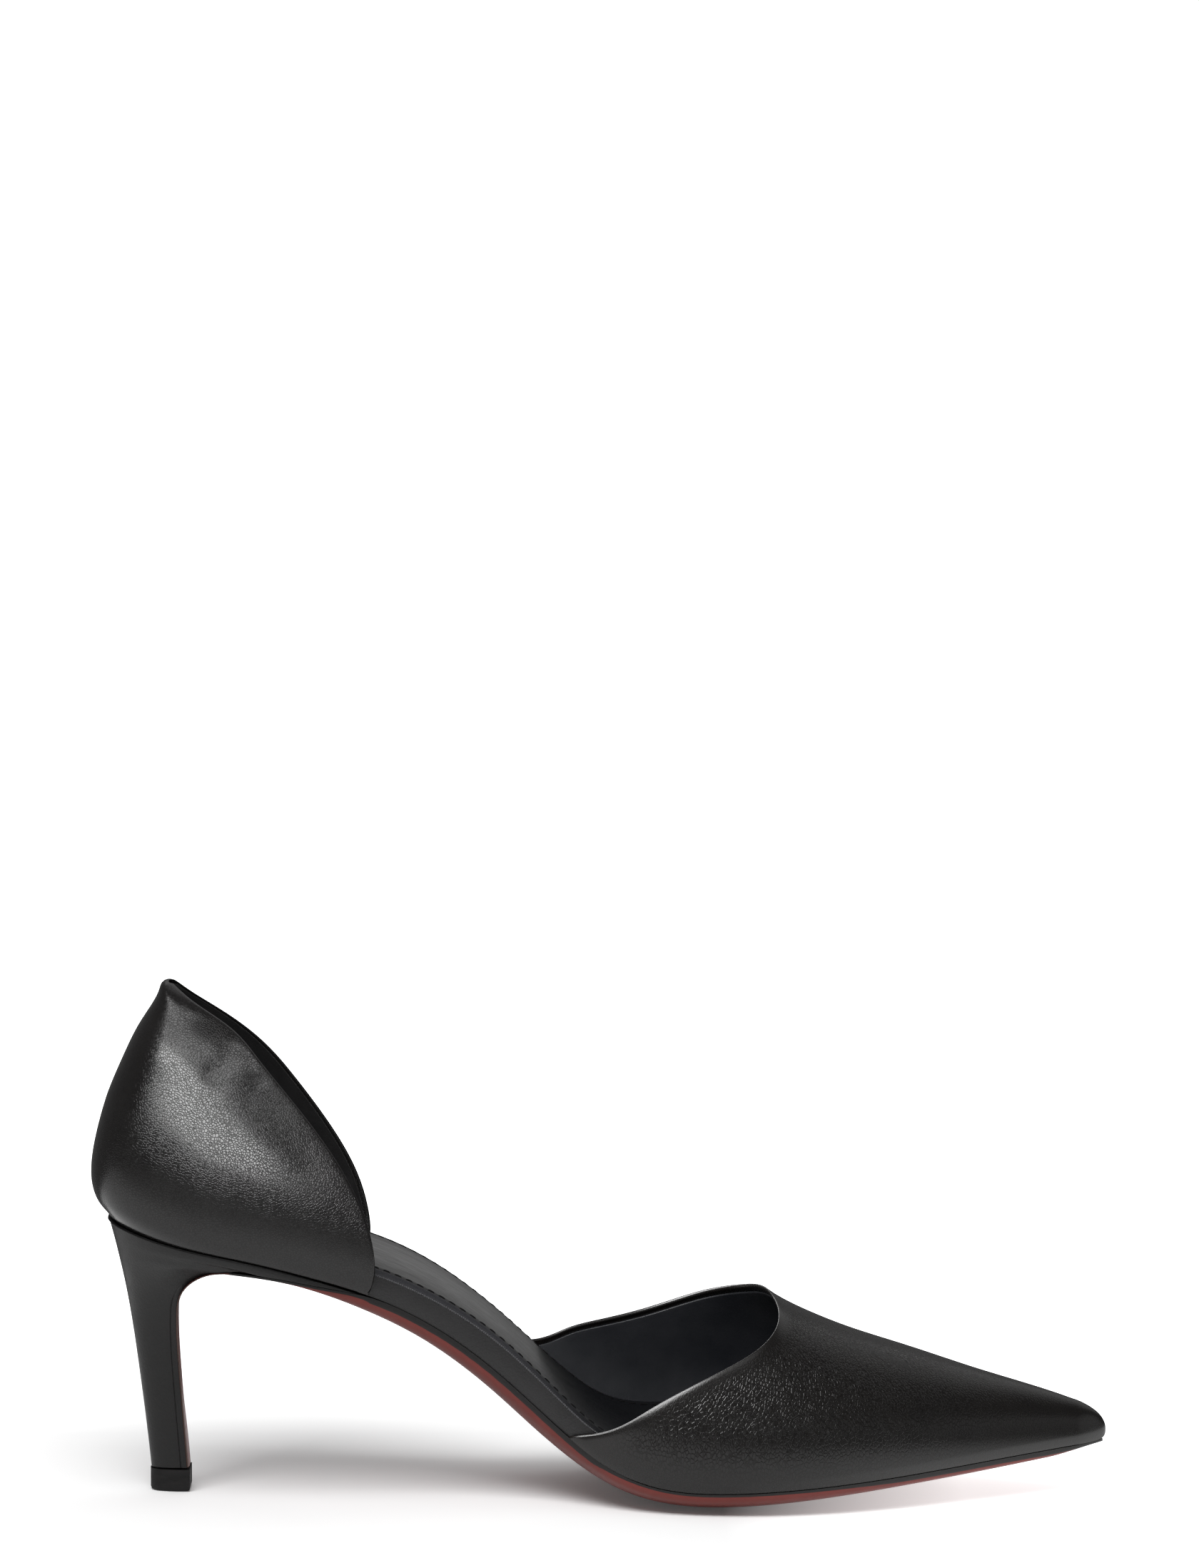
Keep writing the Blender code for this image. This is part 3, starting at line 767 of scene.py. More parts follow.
def vamp_grid(first_inset, thickness, drop, inner):
    across = steps(VAMP_TURNS)
    turn = blend(across, 0.5 - 0.5 * np.cos(np.pi * across), 0.75)
    start = throat_x(turn)
    stretch = topline_stretch(turn)
    radius = 0.5 * thickness
    near = EDGE_STEPS * radius
    rows = []
    for distance, round_in in zip(near, edge_round(near, thickness)):
        inset = first_inset + (thickness - round_in if inner else round_in)
        rows.append(vamp_surface(start + (drop + distance) * stretch, turn, start, inset))
    inset = first_inset + (thickness if inner else 0.0)
    for run in 1.0 - (1.0 - np.arange(1, VAMP_ROWS + 1) / VAMP_ROWS) ** 1.6:
        x = blend(start + (drop + radius) * stretch, tip_of(inset), run)
        at_turn = np.full_like(turn, 0.5) if run > 0.99999 else turn
        rows.append(vamp_surface(x, at_turn, start, inset))
    return np.array(rows)


def vamp_grain(points, above):
    # Softer grain low down, at the toe, on the wings and along the top edge
    x = points[..., 0]
    row = np.arange(points.shape[1])[:, None]
    grain = 1.0 - TOE_SMOOTHNESS * ease(x, *TOE_SMOOTH)
    grain = grain * blend(LOW_GRAIN, 1.0, ease(above, *LOW_GRAIN_RISE))
    grain = grain * blend(WING_GRAIN, 1.0, ease(x, *WING_END))
    return grain * blend(EDGE_GRAIN, 1.0, ease(row, *EDGE_ROWS))


def make_vamp():
    leather = make_layer("vamp_upper", vamp_grid, 0.0, LEATHER, 0.0, vamp_grain, VAMP_LEATHER)
    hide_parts("vamp")
    make_layer("vamp_lining", vamp_grid, *LINING, VAMP_TURNED_EDGE, vamp_grain, VAMP_LINING)


# Heel quarter

QUARTER_LEVELS = 100
QUARTER_TURNS = 80
EDGE_SQUARE = 0.8


def crease_depth(x, z, creases):
    total = np.zeros_like(x)
    for width, depth, line in creases:
        away = np.full_like(x, 1000.0)
        for (x0, z0), (x1, z1) in zip(line, line[1:]):
            share = ((x - x0) * (x1 - x0) + (z - z0) * (z1 - z0)) / ((x1 - x0) ** 2 + (z1 - z0) ** 2)
            share = np.clip(share, 0.0, 1.0)
            away = np.minimum(away, np.hypot(x - blend(x0, x1, share), z - blend(z0, z1, share)))
        total += depth * bump_at(away, 0.0, width)
    return total


def quarter_front(level, side):
    return LENGTH * quarter["inner_front" if side < 0.0 else "outer_front"](level)


def quarter_surface(level, side, run, inset):
    x = blend(LENGTH * quarter["back"](level) + inset, quarter_front(level, side), run)
    seat_x = blend(SEAT_BACK, SEAT_FRONT, run)
    spread = quarter["spread"](level) - inset / (QUARTER_HALF * BALL_WIDTH)
    y = outline(seat_x, side) * spread
    z = seat_z(np.maximum(x, SEAT_BACK), side * heel_round(seat_x, SEAT_BACK)) + GAP + level * BACK_HEIGHT
    folds = crease_depth(x, z, INNER_CREASES if side < 0.0 else OUTER_CREASES)
    y = y + side * folds * ease(np.abs(y), *CREASE_ROOM)
    return xyz(x, y, z)


def quarter_grid(first_inset, thickness, drop, inner):
    radius = 0.5 * thickness
    top_level = 1.0 - drop / BACK_HEIGHT
    near_top = 1.0 - EDGE_STEPS[::-1] * radius / BACK_HEIGHT
    main = steps(QUARTER_TURNS)[:-1]
    near = EDGE_STEPS[::-1] * radius / EDGE_SQUARE
    rows = []
    for level in np.concatenate((steps(QUARTER_LEVELS)[:-1] * near_top[0], near_top)) * top_level:
        sides = []
        for side in (-1.0, 1.0):
            span = quarter_front(level, side) - LENGTH * quarter["back"](level)
            end = 1.0 - drop / EDGE_SQUARE / span
            run = np.concatenate((main ** 2.1 * (end - near[0] / span), end - near / span))
            distance = np.minimum((end - run) * span * EDGE_SQUARE, (top_level - level) * BACK_HEIGHT)
            round_in = edge_round(distance, thickness)
            roll = QUARTER_ROLL * max(1.0 - level * BACK_HEIGHT / QUARTER_ROLL_HEIGHT, 0.0) ** 2
            inset = first_inset + (thickness - round_in if inner else round_in + roll)
            sides.append(quarter_surface(level, side, run, inset))
        rows.append(np.concatenate((sides[0][::-1], sides[1][1:])))
    return np.array(rows)


def quarter_grain(_, above):
    return blend(QUARTER_LOW_GRAIN, 1.0, ease(above, *QUARTER_GRAIN_RISE))


def make_quarter():
    leather = make_layer("quarter_upper", quarter_grid, 0.0, LEATHER, 0.0, quarter_grain, QUARTER_LEATHER)
    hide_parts("heel_quarter")
    make_layer("quarter_lining", quarter_grid, *LINING, QUARTER_TURNED_EDGE, quarter_grain, QUARTER_LINING)


# Outsole

SOLE_STATIONS = 190
SOLE_ACROSS = 36
EDGE_POINTS = 4
BREAST_STATIONS = 50
SOLE_SHARES = -np.cos(np.pi * steps(SOLE_ACROSS))


def sole_inset(x):
    under_vamp = ease(x, VAMP_SOLE_START, VAMP_SOLE_END)
    under_lip = 1.0 - ease(x, SOLE_START * LENGTH, SEAT_FRONT)
    return blend(WALL, SOLE_OVERHANG, under_vamp) + LIP_INSET * under_lip


def sole_ring(x):
    along = x / LENGTH
    tip = LENGTH - SOLE_TIP_SETBACK
    thin = 1.0 - SOLE_TIP_THINNING * ease(x, tip - SOLE_TIP_REACH, tip)
    painted = blend(PAINTED_FORE, PAINTED_WAIST, ease(x, *PAINTED_WAIST_START))
    painted = blend(painted, PAINTED_FORE, ease(x, VAMP_SOLE_START, VAMP_SOLE_END))
    painted = blend(painted, PAINTED_TOE, ease(x, *PAINTED_TOE_START)) * thin
    edge = sole["edge"](along) * thin
    flatness = sole["flatness"](along)
    lip = max(float(sole["lip"](along)), 0.0)
    y = outline(x, SOLE_SHARES, sole_inset(x), tip=tip)
    level = seat_z(x, SOLE_SHARES) - lip
    belly = (1.0 - np.abs(SOLE_SHARES) ** flatness) ** (1.0 / flatness)
    under = np.maximum(level - edge - (sole["depth"](along) * thin - lip - edge) * belly, 0.0)
    down = edge * np.arange(1, EDGE_POINTS) / EDGE_POINTS
    top = [(x, y[k], level[k]) for k in range(SOLE_ACROSS + 1)]
    outer_edge = [(x, y[-1], level[-1] - d) for d in down]
    bottom = [(x, y[k], under[k]) for k in range(SOLE_ACROSS, -1, -1)]
    inner_edge = [(x, y[0], level[0] - d) for d in down[::-1]]
    paint = np.clip(1.0 - (level - painted - under) / PAINT_FADE, 0.0, 1.0)
    edge_paint = np.clip(1.0 - (down - painted) / PAINT_FADE, 0.0, 1.0)
    marks = np.concatenate((np.ones(SOLE_ACROSS + 1), edge_paint, paint[::-1], edge_paint[::-1]))
    return np.array(top + outer_edge + bottom + inner_edge), marks


def breast_line(stations):
    rows = np.array(BREAST)
    shares = chord_shares(rows[:, :2])
    line_x, line_z, half = [spline(shares, rows[:, i]) for i in range(3)]
    share = steps(stations)
    ahead = np.clip(share + 0.004, 0.0, 1.0)
    behind = np.clip(share - 0.004, 0.0, 1.0)
    along = unit(np.stack((line_x(ahead) - line_x(behind), line_z(ahead) - line_z(behind)), axis=-1))
    return np.stack((line_x(share), line_z(share), half(share), along[:, 1], -along[:, 0]), axis=-1)


def breast_setback(y, z, half):
    # The breast is turned a little, so that its outer edge lies behind the inner one
    return BREAST_YAW * ease(z, *BREAST_YAW_START) * (1.0 - ease(z, *BREAST_YAW_END)) * (y + half)


def breast_ring(x, z, half, normal_x, normal_z):
    def row(shares, depths):
        return [(x + normal_x * d, s * half, z + normal_z * d) for s, d in zip(shares, depths)]

    inward = (BREAST_THICKNESS - BREAST_EDGE) * np.abs(SOLE_SHARES) ** 6
    depths = np.linspace(BREAST_THICKNESS, inward[0], EDGE_POINTS + 1)[1:-1]
    side = np.ones_like(depths)
    ring = np.array(row(SOLE_SHARES, np.full_like(inward, BREAST_THICKNESS)) + row(side, depths)
                    + row(SOLE_SHARES, inward)[::-1] + row(-side, depths[::-1]))
    ring[:, 0] -= breast_setback(ring[:, 1], ring[:, 2], half)
    return ring


def make_outsole():
    end = LENGTH - SOLE_TIP_SETBACK - 0.02
    run = steps(SOLE_STATIONS)
    run = blend(run, 1.0 - (1.0 - run) ** 1.8, 0.6)
    flap = [breast_ring(*row) for row in breast_line(BREAST_STATIONS)[::-1]]
    body = [sole_ring(x) for x in blend(SOLE_START * LENGTH, end, run)]
    rings = flap + [ring for ring, _ in body]
    count = len(rings[0])
    raw_ring = np.zeros(count)
    raw_ring[SOLE_ACROSS:SOLE_ACROSS + EDGE_POINTS + 1] = 1.0
    raw_ring[-EDGE_POINTS:] = 1.0
    raw_ring[-EDGE_POINTS - SOLE_ACROSS:1 - EDGE_POINTS] = ease(np.abs(SOLE_SHARES), *RAW_EDGE)
    paint = np.concatenate((np.zeros((len(flap), count)), np.array([marks for _, marks in body])))
    raw = np.concatenate((np.tile(raw_ring, (len(flap), 1)), np.zeros((len(body), count))))
    piece = make_loft("sole", rings, SOLE_LEATHER, marks={"paint": paint, "raw": raw})
    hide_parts("outsole")


# Insole: the wrapped band, the sock on it, its bead and its stitches

INSOLE_STATIONS = 200
SOCK_SIDE = (0.0, 0.03, 0.1, 0.2, 0.3, 0.4, 0.5, 0.6, 0.7, 0.8, 0.9, 1.0, 1.1, 1.2, 1.35, 1.5, 1.7, 1.9,
             2.05, 2.2, 2.35, 2.6, 3.0, 3.6)
SOCK_MIDDLE = 16
BAND_WALL = 12
BAND_FLAT = 10
CAPSULE_STEPS = 9
INSOLE_TIP = tip_of(WALL + INSOLE_SETBACK) - INSOLE_TIP_SETBACK


def insole_height(x, share):
    along = x / LENGTH
    thickness = blend(INSOLE_THICKNESS, INSOLE_TOE_THICKNESS, ease(along, *INSOLE_THINNING))
    slope = (seat_z(x + 1.0, 0.0) - seat_z(x - 1.0, 0.0)) / 2.0
    upright = thickness * np.sqrt(1.0 + slope ** 2)
    dish = ease(along, *DISH_START) * (1.0 - ease(along, *DISH_END))
    return seat_z(x, share) + GAP + upright + DISH_RISE * dish * np.abs(share) ** 4


def insole_y(x, share):
    return outline(x, share, WALL + INSOLE_SETBACK, tip=INSOLE_TIP)


def insole_half(x):
    return 0.5 * (insole_y(x, 1.0) - insole_y(x, -1.0))


def insole_stations():
    start = SEAT_BACK + WALL + INSOLE_SETBACK + 0.25
    run = steps(INSOLE_STATIONS)
    run = blend(run, 0.5 - 0.5 * np.cos(np.pi * run), 0.6)
    return blend(start, INSOLE_TIP - 0.1, run)


def sock_drop(inside):
    # How far the sock lies below its crown at a distance inside its edge
    reach = np.clip(1.0 - inside / SOCK_EDGE_RADIUS, 0.0, 1.0)
    edge = SOCK_EDGE_DROP * (1.0 - np.sqrt(1.0 - reach ** 2))
    crease = CREASE_DEPTH * bump_at(inside, CREASE_INSIDE, CREASE_WIDTH)
    for fold in FOLDS_INSIDE:
        crease = crease + FOLD_DEPTH * bump_at(inside, fold, FOLD_WIDTH)
    return edge + crease + CHANNEL_DEPTH * bump_at(inside, STITCH_INSIDE, CHANNEL_WIDTH)


def sock_floor(x, share):
    return insole_height(x, share) - SOCK_EDGE_DROP - SOCK_LAP


def sock_dome(x, share):
    return SOCK_DOME * (1.0 - share ** 2) * (1.0 - ease(x, *SOCK_SHADE_UNDER_VAMP))


def sock_shares(x):
    half = insole_half(x)
    edge = np.array(SOCK_SIDE) * min(1.0, half / SOCK_FULL_HALF) / max(half, SOCK_LEAST_HALF)
    middle = np.linspace(-1.0 + edge[-1], 1.0 - edge[-1], SOCK_MIDDLE + 2)[1:-1]
    share = np.concatenate((-1.0 + edge, middle, (1.0 - edge)[::-1]))
    return share, (1.0 - np.abs(share)) * max(half, SOCK_LEAST_HALF)


def make_sock():
    rings = []
    marks = {"rim": [], "groove": [], "vamp_shade": []}
    for x in insole_stations():
        share, distance = sock_shares(x)
        y = insole_y(x, share)
        top = insole_height(x, share) - sock_drop(distance) + sock_dome(x, share)
        upper = xyz(x, y, top)
        lower = xyz(x, y * 0.999, sock_floor(x, share))
        rings.append(np.concatenate((upper, lower[::-1])))
        rim = 1.0 - ease(distance, CREASE_INSIDE - 0.1, CREASE_INSIDE + 0.3)
        groove = np.maximum(bump_at(distance, CREASE_INSIDE, 0.3), 0.4 * share ** 2)
        groove = np.maximum(groove, 0.6 * bump_at(distance, STITCH_INSIDE, CHANNEL_WIDTH))
        below = np.ones_like(share)
        marks["rim"].append(np.concatenate((rim, below)))
        marks["groove"].append(np.concatenate((groove, below)))
        # Painted shade: the sock darkens where it runs in under the vamp
        marks["vamp_shade"].append(np.full(2 * len(rim), ease(x, *SOCK_SHADE_UNDER_VAMP)))
    make_loft("sock", rings, SOCK_LEATHER, marks=marks)


def make_band():
    rings = []
    shares = np.linspace(-1.0, 1.0, BAND_FLAT + 1)
    up = steps(BAND_WALL)[1:-1]
    bulge = BAND_BULGE * np.sin(np.pi * up)
    for x in insole_stations():
        y = insole_y(x, shares)
        low = seat_z(x, shares) + BAND_GAP
        high = sock_floor(x, shares) - BAND_TOP_GAP
        bottom = [(x, y[k], low[k]) for k in range(BAND_FLAT + 1)]
        outer = [(x, y[-1] + b, blend(low[-1], high[-1], u)) for u, b in zip(up, bulge)]
        top = [(x, y[k], high[k]) for k in range(BAND_FLAT, -1, -1)]
        inner = [(x, y[0] - b, blend(high[0], low[0], u)) for u, b in zip(up, bulge)]
        rings.append(bottom + outer + top + inner)
    piece = make_loft("insole_band", rings, BAND_LEATHER)
    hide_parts("insole")


def points_on(line, lengths, at):
    return np.stack([np.interp(at, lengths, line[:, i]) for i in range(3)], axis=-1)


def sock_path(side, inside, drop, ends, step):
    # Evenly spaced points along the sock at a distance inside its edge
    x = np.arange(*ends, 0.5)
    share = side * (1.0 - inside / insole_half(x))
    line = xyz(x, insole_y(x, share), insole_height(x, share) + sock_dome(x, share) - drop)
    lengths = np.concatenate(([0.0], np.cumsum(np.linalg.norm(np.diff(line, axis=0), axis=1))))
    return points_on(line, lengths, np.arange(0.0, lengths[-1], step))


def tube_rings(path, radii, sides):
    tangent = unit(np.gradient(path, axis=0))
    across = unit(np.cross(tangent, (0.0, 0.0, 1.0)))
    upward = np.cross(across, tangent)
    angles = (2.0 * np.pi * np.arange(sides) / sides)[None, :, None]
    circle = np.cos(angles) * across[:, None, :] + np.sin(angles) * upward[:, None, :]
    return path[:, None, :] + circle * radii[:, None, None]


def make_tubes(name, tubes, material):
    points = []
    faces = []
    offset = 0
    for rings in tubes:
        faces += loft_faces(*rings.shape[:2], offset)
        points.append(rings.reshape(-1, 3))
        offset += len(points[-1])
    make_piece(name, np.concatenate(points), faces, material)


def make_beads():
    tubes = []
    for side in (-1.0, 1.0):
        path = sock_path(side, BEAD_INSIDE, SOCK_EDGE_DROP + BEAD_DROP, BEAD_ENDS, BEAD_PITCH / 4.0)
        wave = 1.0 + BEAD_WAVE * np.cos(2.0 * np.pi * np.arange(len(path)) / 4.0)
        tubes.append(tube_rings(path, BEAD_RADIUS * wave, 8))
    make_tubes("insole_bead", tubes, BEAD_THREAD)


def make_stitches():
    tubes = []
    step = 0.1
    share = np.linspace(-1.0, 1.0, CAPSULE_STEPS)
    radii = STITCH_RADIUS * np.maximum(1.0 - np.abs(share) ** 4, 0.02) ** 0.5
    for side in (-1.0, 1.0):
        path = sock_path(side, STITCH_INSIDE, CHANNEL_DEPTH - STITCH_PROUD, STITCH_ENDS, step)
        lengths = np.arange(len(path)) * step
        for centre in np.arange(STITCH_PITCH, lengths[-1] - STITCH_PITCH, STITCH_PITCH):
            line = points_on(path, lengths, centre + 0.5 * STITCH_LENGTH * share)
            line[:, 2] -= STITCH_PROUD * share ** 4
            tubes.append(tube_rings(line, radii, 6))
    make_tubes("sock_stitches", tubes, THREAD)


# Heel and top lift

HEEL_LEVELS = 110
HEEL_POINTS = 40
SEAM_STEP = 7.7
SEAM_RINGS = 5
LAP_STEPS = (2.4, 1.9, 1.65, 1.5, 1.4, 1.25, 0.95, 0.55, 0.25, 0.0)


def heel_front_line():
    away = BREAST_THICKNESS + COVER_GAP
    line = breast_line(16)[::-1]
    points = [(x + nx * away, z + nz * away) for x, z, _, nx, nz in line]
    for x in np.linspace(SOLE_START * LENGTH, LIP_END, LIP_POINTS + 1):
        points.append((x, seat_z(x, 0.0) - sole["lip"](x / LENGTH) + GAP))
    points = np.array(points)
    shares = chord_shares(points)
    return spline(shares, points[:, 0]), spline(shares, points[:, 1])


heel_front_x, heel_front_z = heel_front_line()


def heel_side(step, side, lapped):
    at = {name: float(curve(step)) for name, curve in heel.items()}
    front_x = float(heel_front_x(at["front"]))
    front_z = float(heel_front_z(at["front"]))
    seat_share = min(max(at["seat_share"], 0.0), 1.0)
    span = front_x - at["back_x"]
    lap = np.array(LAP_STEPS)
    main = (0.004 + 0.996 * steps(HEEL_POINTS)[:-1]) ** 1.9
    run = np.concatenate((main * (1.0 - lap[0] / span), 1.0 - lap / span))
    x = blend(at["back_x"], front_x, run)
    round_share = (1.0 - (1.0 - run) ** HEEL_SECTION_FULLNESS) ** (1.0 / HEEL_SECTION_FULLNESS)
    stem = side * at["half"] * round_share
    seat_y = outline(x, side, HEEL_INSET, back=at["back_x"])
    straight = blend(at["back_z"], front_z, run)
    middle = seat_z(x, 0.0)
    tilt = seat_z(x, side * heel_round(x, at["back_x"])) - middle
    sag = np.minimum(middle - straight, SEAT_SAG) * (1.0 - run ** 8)
    z = straight + seat_share * (sag + tilt)
    fade = lapped * (1.0 - ease(step, *COVER_LAP_END))
    from_edge = span * (1.0 - run)
    proud = COVER_LAP_STEP * fade * (1.0 - ease(from_edge, COVER_LAP - 0.12, COVER_LAP + 0.12))
    proud = proud - COVER_GROOVE * fade * bump_at(from_edge, COVER_LAP + 0.1, COVER_GROOVE_WIDTH)
    y = blend(stem, seat_y, seat_share) + side * proud
    x = x - breast_setback(y, z, at["half"]) * ease(run, 0.5, 1.0)
    return xyz(x, y, z)


def heel_ring(step, lapped=1.0):
    return np.concatenate((heel_side(step, -1.0, lapped), heel_side(step, 1.0, lapped)[::-1]))


def seam_ring(ring, inward, down):
    # The top edge of the heel rounds off towards the seam under the quarter
    moved = ring.copy()
    moved[:, 0] += inward * np.exp(-(ring[:, 0] - ring[:, 0].min()) / SEAM_REACH)
    moved[:, 1] -= inward * np.clip(ring[:, 1] / SEAM_REACH, -1.0, 1.0)
    moved[:, 2] -= down * (1.0 - ease(ring[:, 0], *SEAM_FADE))
    return moved


def make_heel():
    rings = [heel_ring(SEAM_STEP * i / HEEL_LEVELS) for i in range(HEEL_LEVELS + 1)]
    top = heel_ring(HEEL[-1][0])
    for angle in np.linspace(0.0, 0.5 * np.pi, SEAM_RINGS):
        rings.append(seam_ring(top, SEAM_ROUND * (1.0 - np.cos(angle)), SEAM_ROUND * (1.0 - np.sin(angle))))
    piece = make_loft("heel_cover", rings, HEEL_LEATHER, 40.0)
    add_bevel(piece, 0.22, 50.0)
    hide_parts("heel")


def lift_ring(z, proud):
    bottom = heel_ring(0.0, 0.0)
    front = bottom[:, 0].max()
    centre = 0.5 * (bottom[:, 0].min() + front)
    half = HEEL[1][4]
    flap = np.where(bottom[:, 0] > front - 0.01, BREAST_THICKNESS + COVER_GAP, 0.0)
    lengthways = np.abs(bottom[:, 0] - centre) / (front - centre)
    x = bottom[:, 0] + np.sign(bottom[:, 0] - centre) * (proud + flap) * lengthways
    y = bottom[:, 1] * (1.0 + proud / half)
    return xyz(x, y, z)


def make_lift():
    rings = [
        lift_ring(0.0, LIFT_PROUD - LIFT_CHAMFER),
        lift_ring(0.35 * LIFT_CHAMFER, LIFT_PROUD - 0.25 * LIFT_CHAMFER),
        lift_ring(LIFT_CHAMFER, LIFT_PROUD),
        lift_ring(0.5 * LIFT_HEIGHT, LIFT_PROUD),
        lift_ring(LIFT_HEIGHT, LIFT_PROUD),
    ]
    piece = make_loft("lift", rings, LIFT_RUBBER, 35.0)
    add_bevel(piece, 0.2, 45.0)
    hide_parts("top_lift")


# Stage, lights and camera; the sizes here are in metres

IMAGE_HEIGHT = 2197
PIXELS_PER_MM = 5.69
VIEW_ELEVATION = 9.5
VIEW_DISTANCE = 1.8
LOOK_AT = Vector((0.0, 0.0, 0.0615))
LOOK_AT_PIXEL_Y = 1740.0
LENS_TRIM = 0.9975
SENSOR = 36.0

FLOOR_WHITES = ((0.84, 0.84, 0.84), (0.88, 0.88, 0.88))
# The grey below is painted shade, for the paper far in front of the shoe
FLOOR_SHADE_GREY = (0.3, 0.3, 0.3)
FLOOR_SHADE_DEPTH = (-0.42, -0.14)
FLOOR_GLOW = 0.05
FAR_GLOW = 1.0
FAR_GLOW_DEPTH = (0.07, 0.3)
TOE_GLOW = 0.72
TOE_GLOW_ALONG = (0.03, 0.09)
TOE_GLOW_DEPTH = (-0.08, -0.045)
BACKDROP_GLOW = (1.03, 1.1)
WORLD_GLOW = 0.11
WHITE = (1.0, 1.0, 1.0, 1.0)
BLACK = (0.0, 0.0, 0.0, 1.0)

STAGE_REACH = 6.0
STAGE_BACK = 4.0
FLOOR_LEVEL = -0.0001
FLOOR_SPLIT = 0.13
BACKDROP_HEIGHT = 2.6

# Lights: azimuth, elevation, distance, size, radiance, and for some the pieces that they are kept to, like
# small cards held close to them, whether mirrors show them, and their roll

FLOOR_SHEETS = ("floor", "floor_behind")
SHOE_PIECES = ("vamp_upper", "vamp_lining", "quarter_upper", "quarter_lining", "sole", "insole_band", "sock",
               "insole_bead", "sock_stitches", "heel_cover", "lift")
LIGHTS = (
    ("key_low", -23.0, 27.0, 1.7, (2.1, 0.6), 11.0, ("quarter_upper", "vamp_lining"), True, -18.0),
    ("key_high", -18.0, 60.0, 1.7, (2.0, 1.2), 3.4, ("quarter_upper",)),
    ("side", -75.0, 48.0, 1.6, (1.7, 1.1), 12.0, ("vamp_upper",)),
    ("over", -10.0, 64.0, 1.7, (1.6, 0.8), 0.7, ("vamp_upper",)),
    ("rim", -140.0, 30.0, 1.7, (0.9, 0.7), 4.5, ("vamp_upper",)),
    ("toe", 75.0, 15.0, 1.7, (1.0, 0.7), 0.35, ("vamp_upper",)),
    ("sheen", 172.0, 12.0, 1.8, (1.4, 0.5), 0.54, ("sock",)),
    ("front", 20.0, 24.0, 1.9, (2.4, 1.1), 0.18),
    ("back", 155.0, 40.0, 2.2, (3.0, 1.4), 0.34),
    ("top", -20.0, 61.0, 1.8, (1.3, 1.1), 6.2, (), False),
    ("low", 5.0, 22.0, 1.8, (1.8, 1.2), 1.8, SHOE_PIECES, False),
    ("above", 180.0, 80.0, 1.8, (1.6, 1.2), 0.82, FLOOR_SHEETS, False),
)


def floor_material(name):
    # White paper that glows behind the shoe and at its toe, and turns grey far in front of it: that grey is
    # painted shade, so that the leather mirrors a darker floor from the front
    n = Nodes(name)
    place = n.place()
    axes = n.add("SeparateXYZ", {0: place}).outputs
    depth = axes["Y"]
    white = n.mix(n.noise(place, 60.0, 3.0), *FLOOR_WHITES)
    # Far in front the paper is painted grey: painted shade that the leather mirrors from the front
    shade = n.mix(n.spread(depth, *FLOOR_SHADE_DEPTH, 1.0, 0.0), white, FLOOR_SHADE_GREY)
    near = n.spread(depth, *FLOOR_SHADE_DEPTH, 0.0, FLOOR_GLOW)
    far = n.spread(depth, *FAR_GLOW_DEPTH, 0.0, FAR_GLOW - FLOOR_GLOW)
    toe = n.math("MULTIPLY", n.spread(axes["X"], *TOE_GLOW_ALONG, 0.0, TOE_GLOW),
                 n.spread(depth, *TOE_GLOW_DEPTH))
    glow = n.math("ADD", n.math("ADD", near, far), toe)
    return n.finish({"Base Color": shade, "Emission Strength": glow, "Emission Color": WHITE,
                     "Roughness": 0.7, "Specular IOR Level": 0.1})


def backdrop_material(name):
    n = Nodes(name)
    glow = n.spread(n.noise(n.place(), 900.0, 2.0), 0.0, 1.0, *BACKDROP_GLOW)
    return n.finish({"Base Color": BLACK, "Emission Strength": glow, "Emission Color": WHITE,
                     "Roughness": 1.0, "Specular IOR Level": 0.0})


def make_sheet(name, first, second, material, mirrored):
    # A wide sheet between two lines along x, each given by its y and z
    corners = [(side * STAGE_REACH, *line) for line in (first, second) for side in (-1.0, 1.0)]
    mesh = bpy.data.meshes.new(name)
    mesh.from_pydata(corners, [], [(0, 1, 3, 2)])
    mesh.materials.append(material)
    sheet = add_object(name, mesh)
    sheet.visible_glossy = mirrored


def make_stage():
    paper = floor_material("floor_white")
    wall = backdrop_material("backdrop_white")
    split = (FLOOR_SPLIT, FLOOR_LEVEL)
    back = (STAGE_BACK, FLOOR_LEVEL)
    make_sheet("floor", (-STAGE_REACH, FLOOR_LEVEL), split, paper, True)
    make_sheet("floor_behind", split, back, paper, False)
    make_sheet("backdrop", back, (STAGE_BACK, BACKDROP_HEIGHT), wall, False)


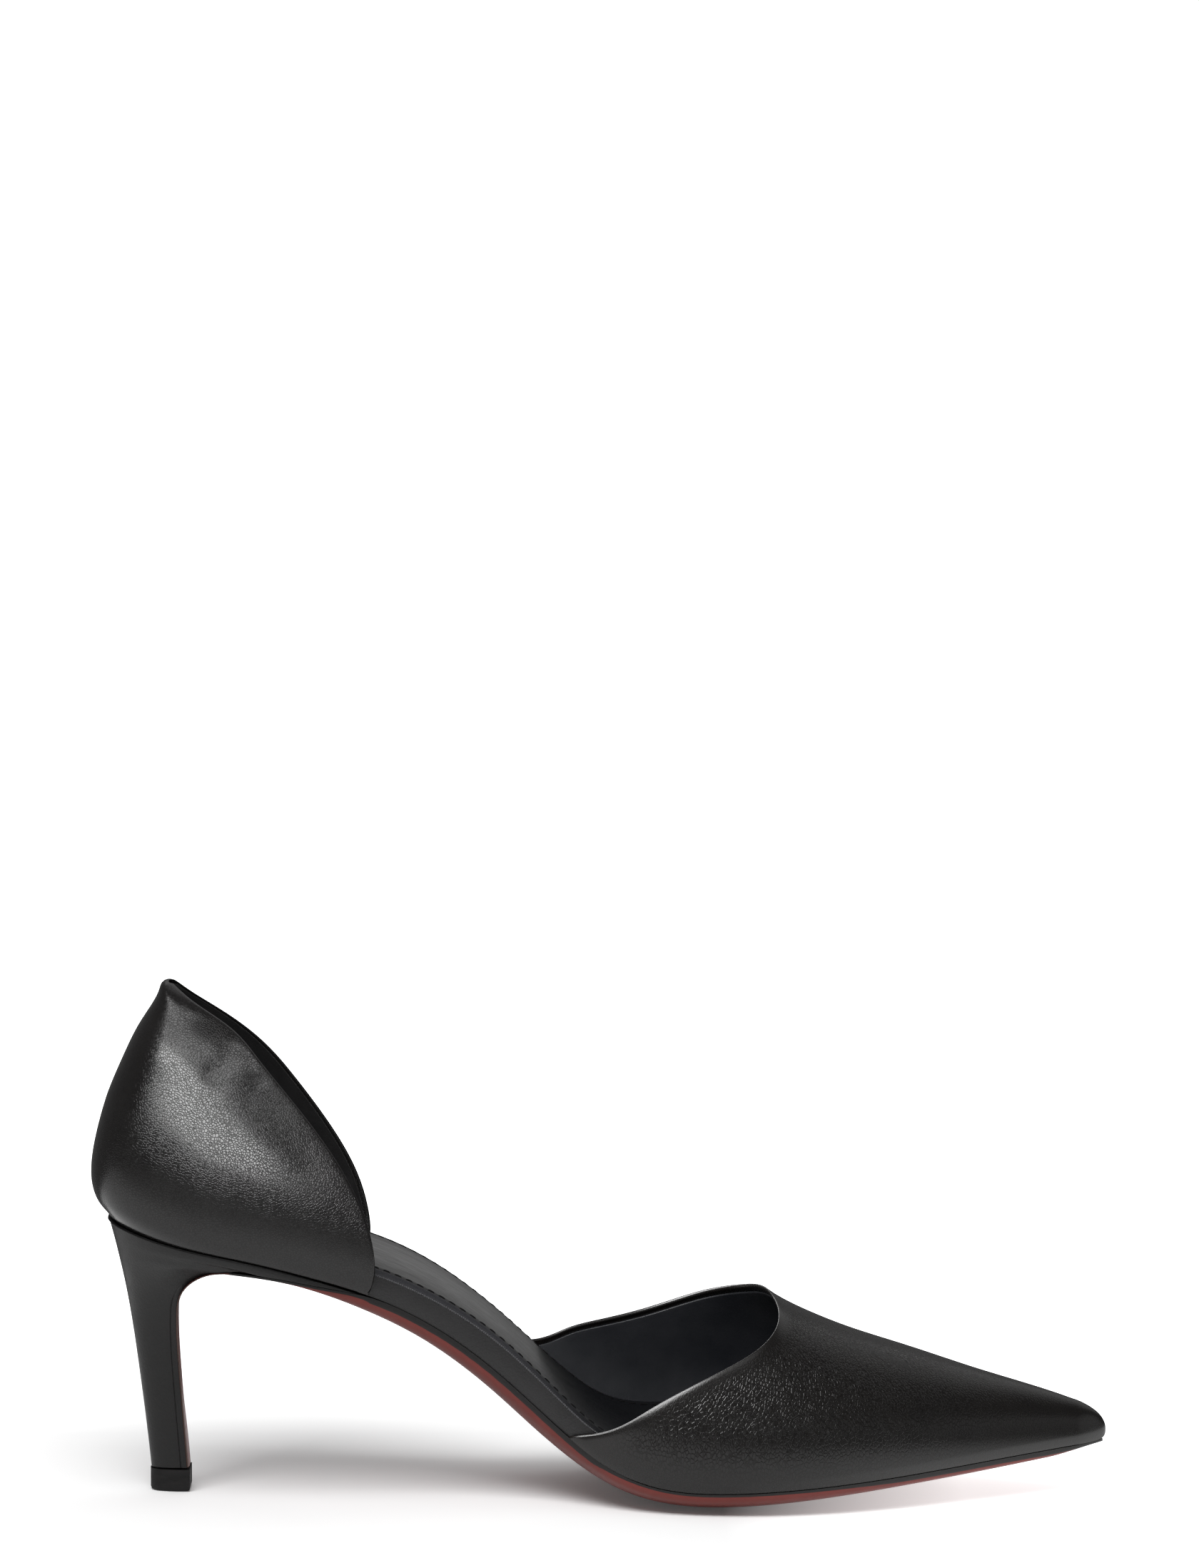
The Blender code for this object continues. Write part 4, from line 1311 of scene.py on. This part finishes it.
def make_light(name, azimuth, elevation, distance, size, radiance, lit=(), mirrored=True, roll=0.0):
    turn = math.radians(azimuth)
    rise = math.radians(elevation)
    towards = Vector((math.sin(turn) * math.cos(rise), -math.cos(turn) * math.cos(rise), math.sin(rise)))
    data = bpy.data.lights.new(name, "AREA")
    data.shape = "RECTANGLE"
    data.size, data.size_y = size
    data.energy = radiance * 4.0 * size[0] * size[1]
    light = add_object(name, data)
    light.location = LOOK_AT + towards * distance
    rolled = Quaternion((0.0, 0.0, 1.0), math.radians(roll))
    light.rotation_mode = "QUATERNION"
    light.rotation_quaternion = towards.to_track_quat("Z", "Y") @ rolled
    light.visible_glossy = mirrored
    if lit:
        group = bpy.data.collections.new(name + "_pieces")
        for piece in lit:
            group.objects.link(bpy.data.objects[piece])
        light.light_linking.receiver_collection = group


def make_lights():
    for row in LIGHTS:
        make_light(*row)
    world = bpy.data.worlds.new("studio")
    world.use_nodes = True
    background = world.node_tree.nodes["Background"]
    background.inputs["Color"].default_value = WHITE
    background.inputs["Strength"].default_value = WORLD_GLOW
    bpy.context.scene.world = world
    bpy.context.scene.view_settings.view_transform = "Standard"


def make_camera():
    rise = math.radians(VIEW_ELEVATION)
    focal_pixels = PIXELS_PER_MM * VIEW_DISTANCE / MM * LENS_TRIM
    tilt = rise - math.atan((LOOK_AT_PIXEL_Y - 0.5 * IMAGE_HEIGHT) / focal_pixels)
    data = bpy.data.cameras.new("camera")
    data.sensor_width = SENSOR
    data.lens = SENSOR * focal_pixels / IMAGE_HEIGHT
    camera = add_object("camera", data)
    camera.location = LOOK_AT + Vector((0.0, -math.cos(rise), math.sin(rise))) * VIEW_DISTANCE
    camera.rotation_mode = "QUATERNION"
    camera.rotation_quaternion = Vector((0.0, math.cos(tilt), -math.sin(tilt))).to_track_quat("-Z", "Y")
    bpy.context.scene.camera = camera


make_camera()
make_stage()
make_outsole()
make_band()
make_sock()
make_beads()
make_stitches()
make_vamp()
make_quarter()
make_heel()
make_lift()
make_lights()
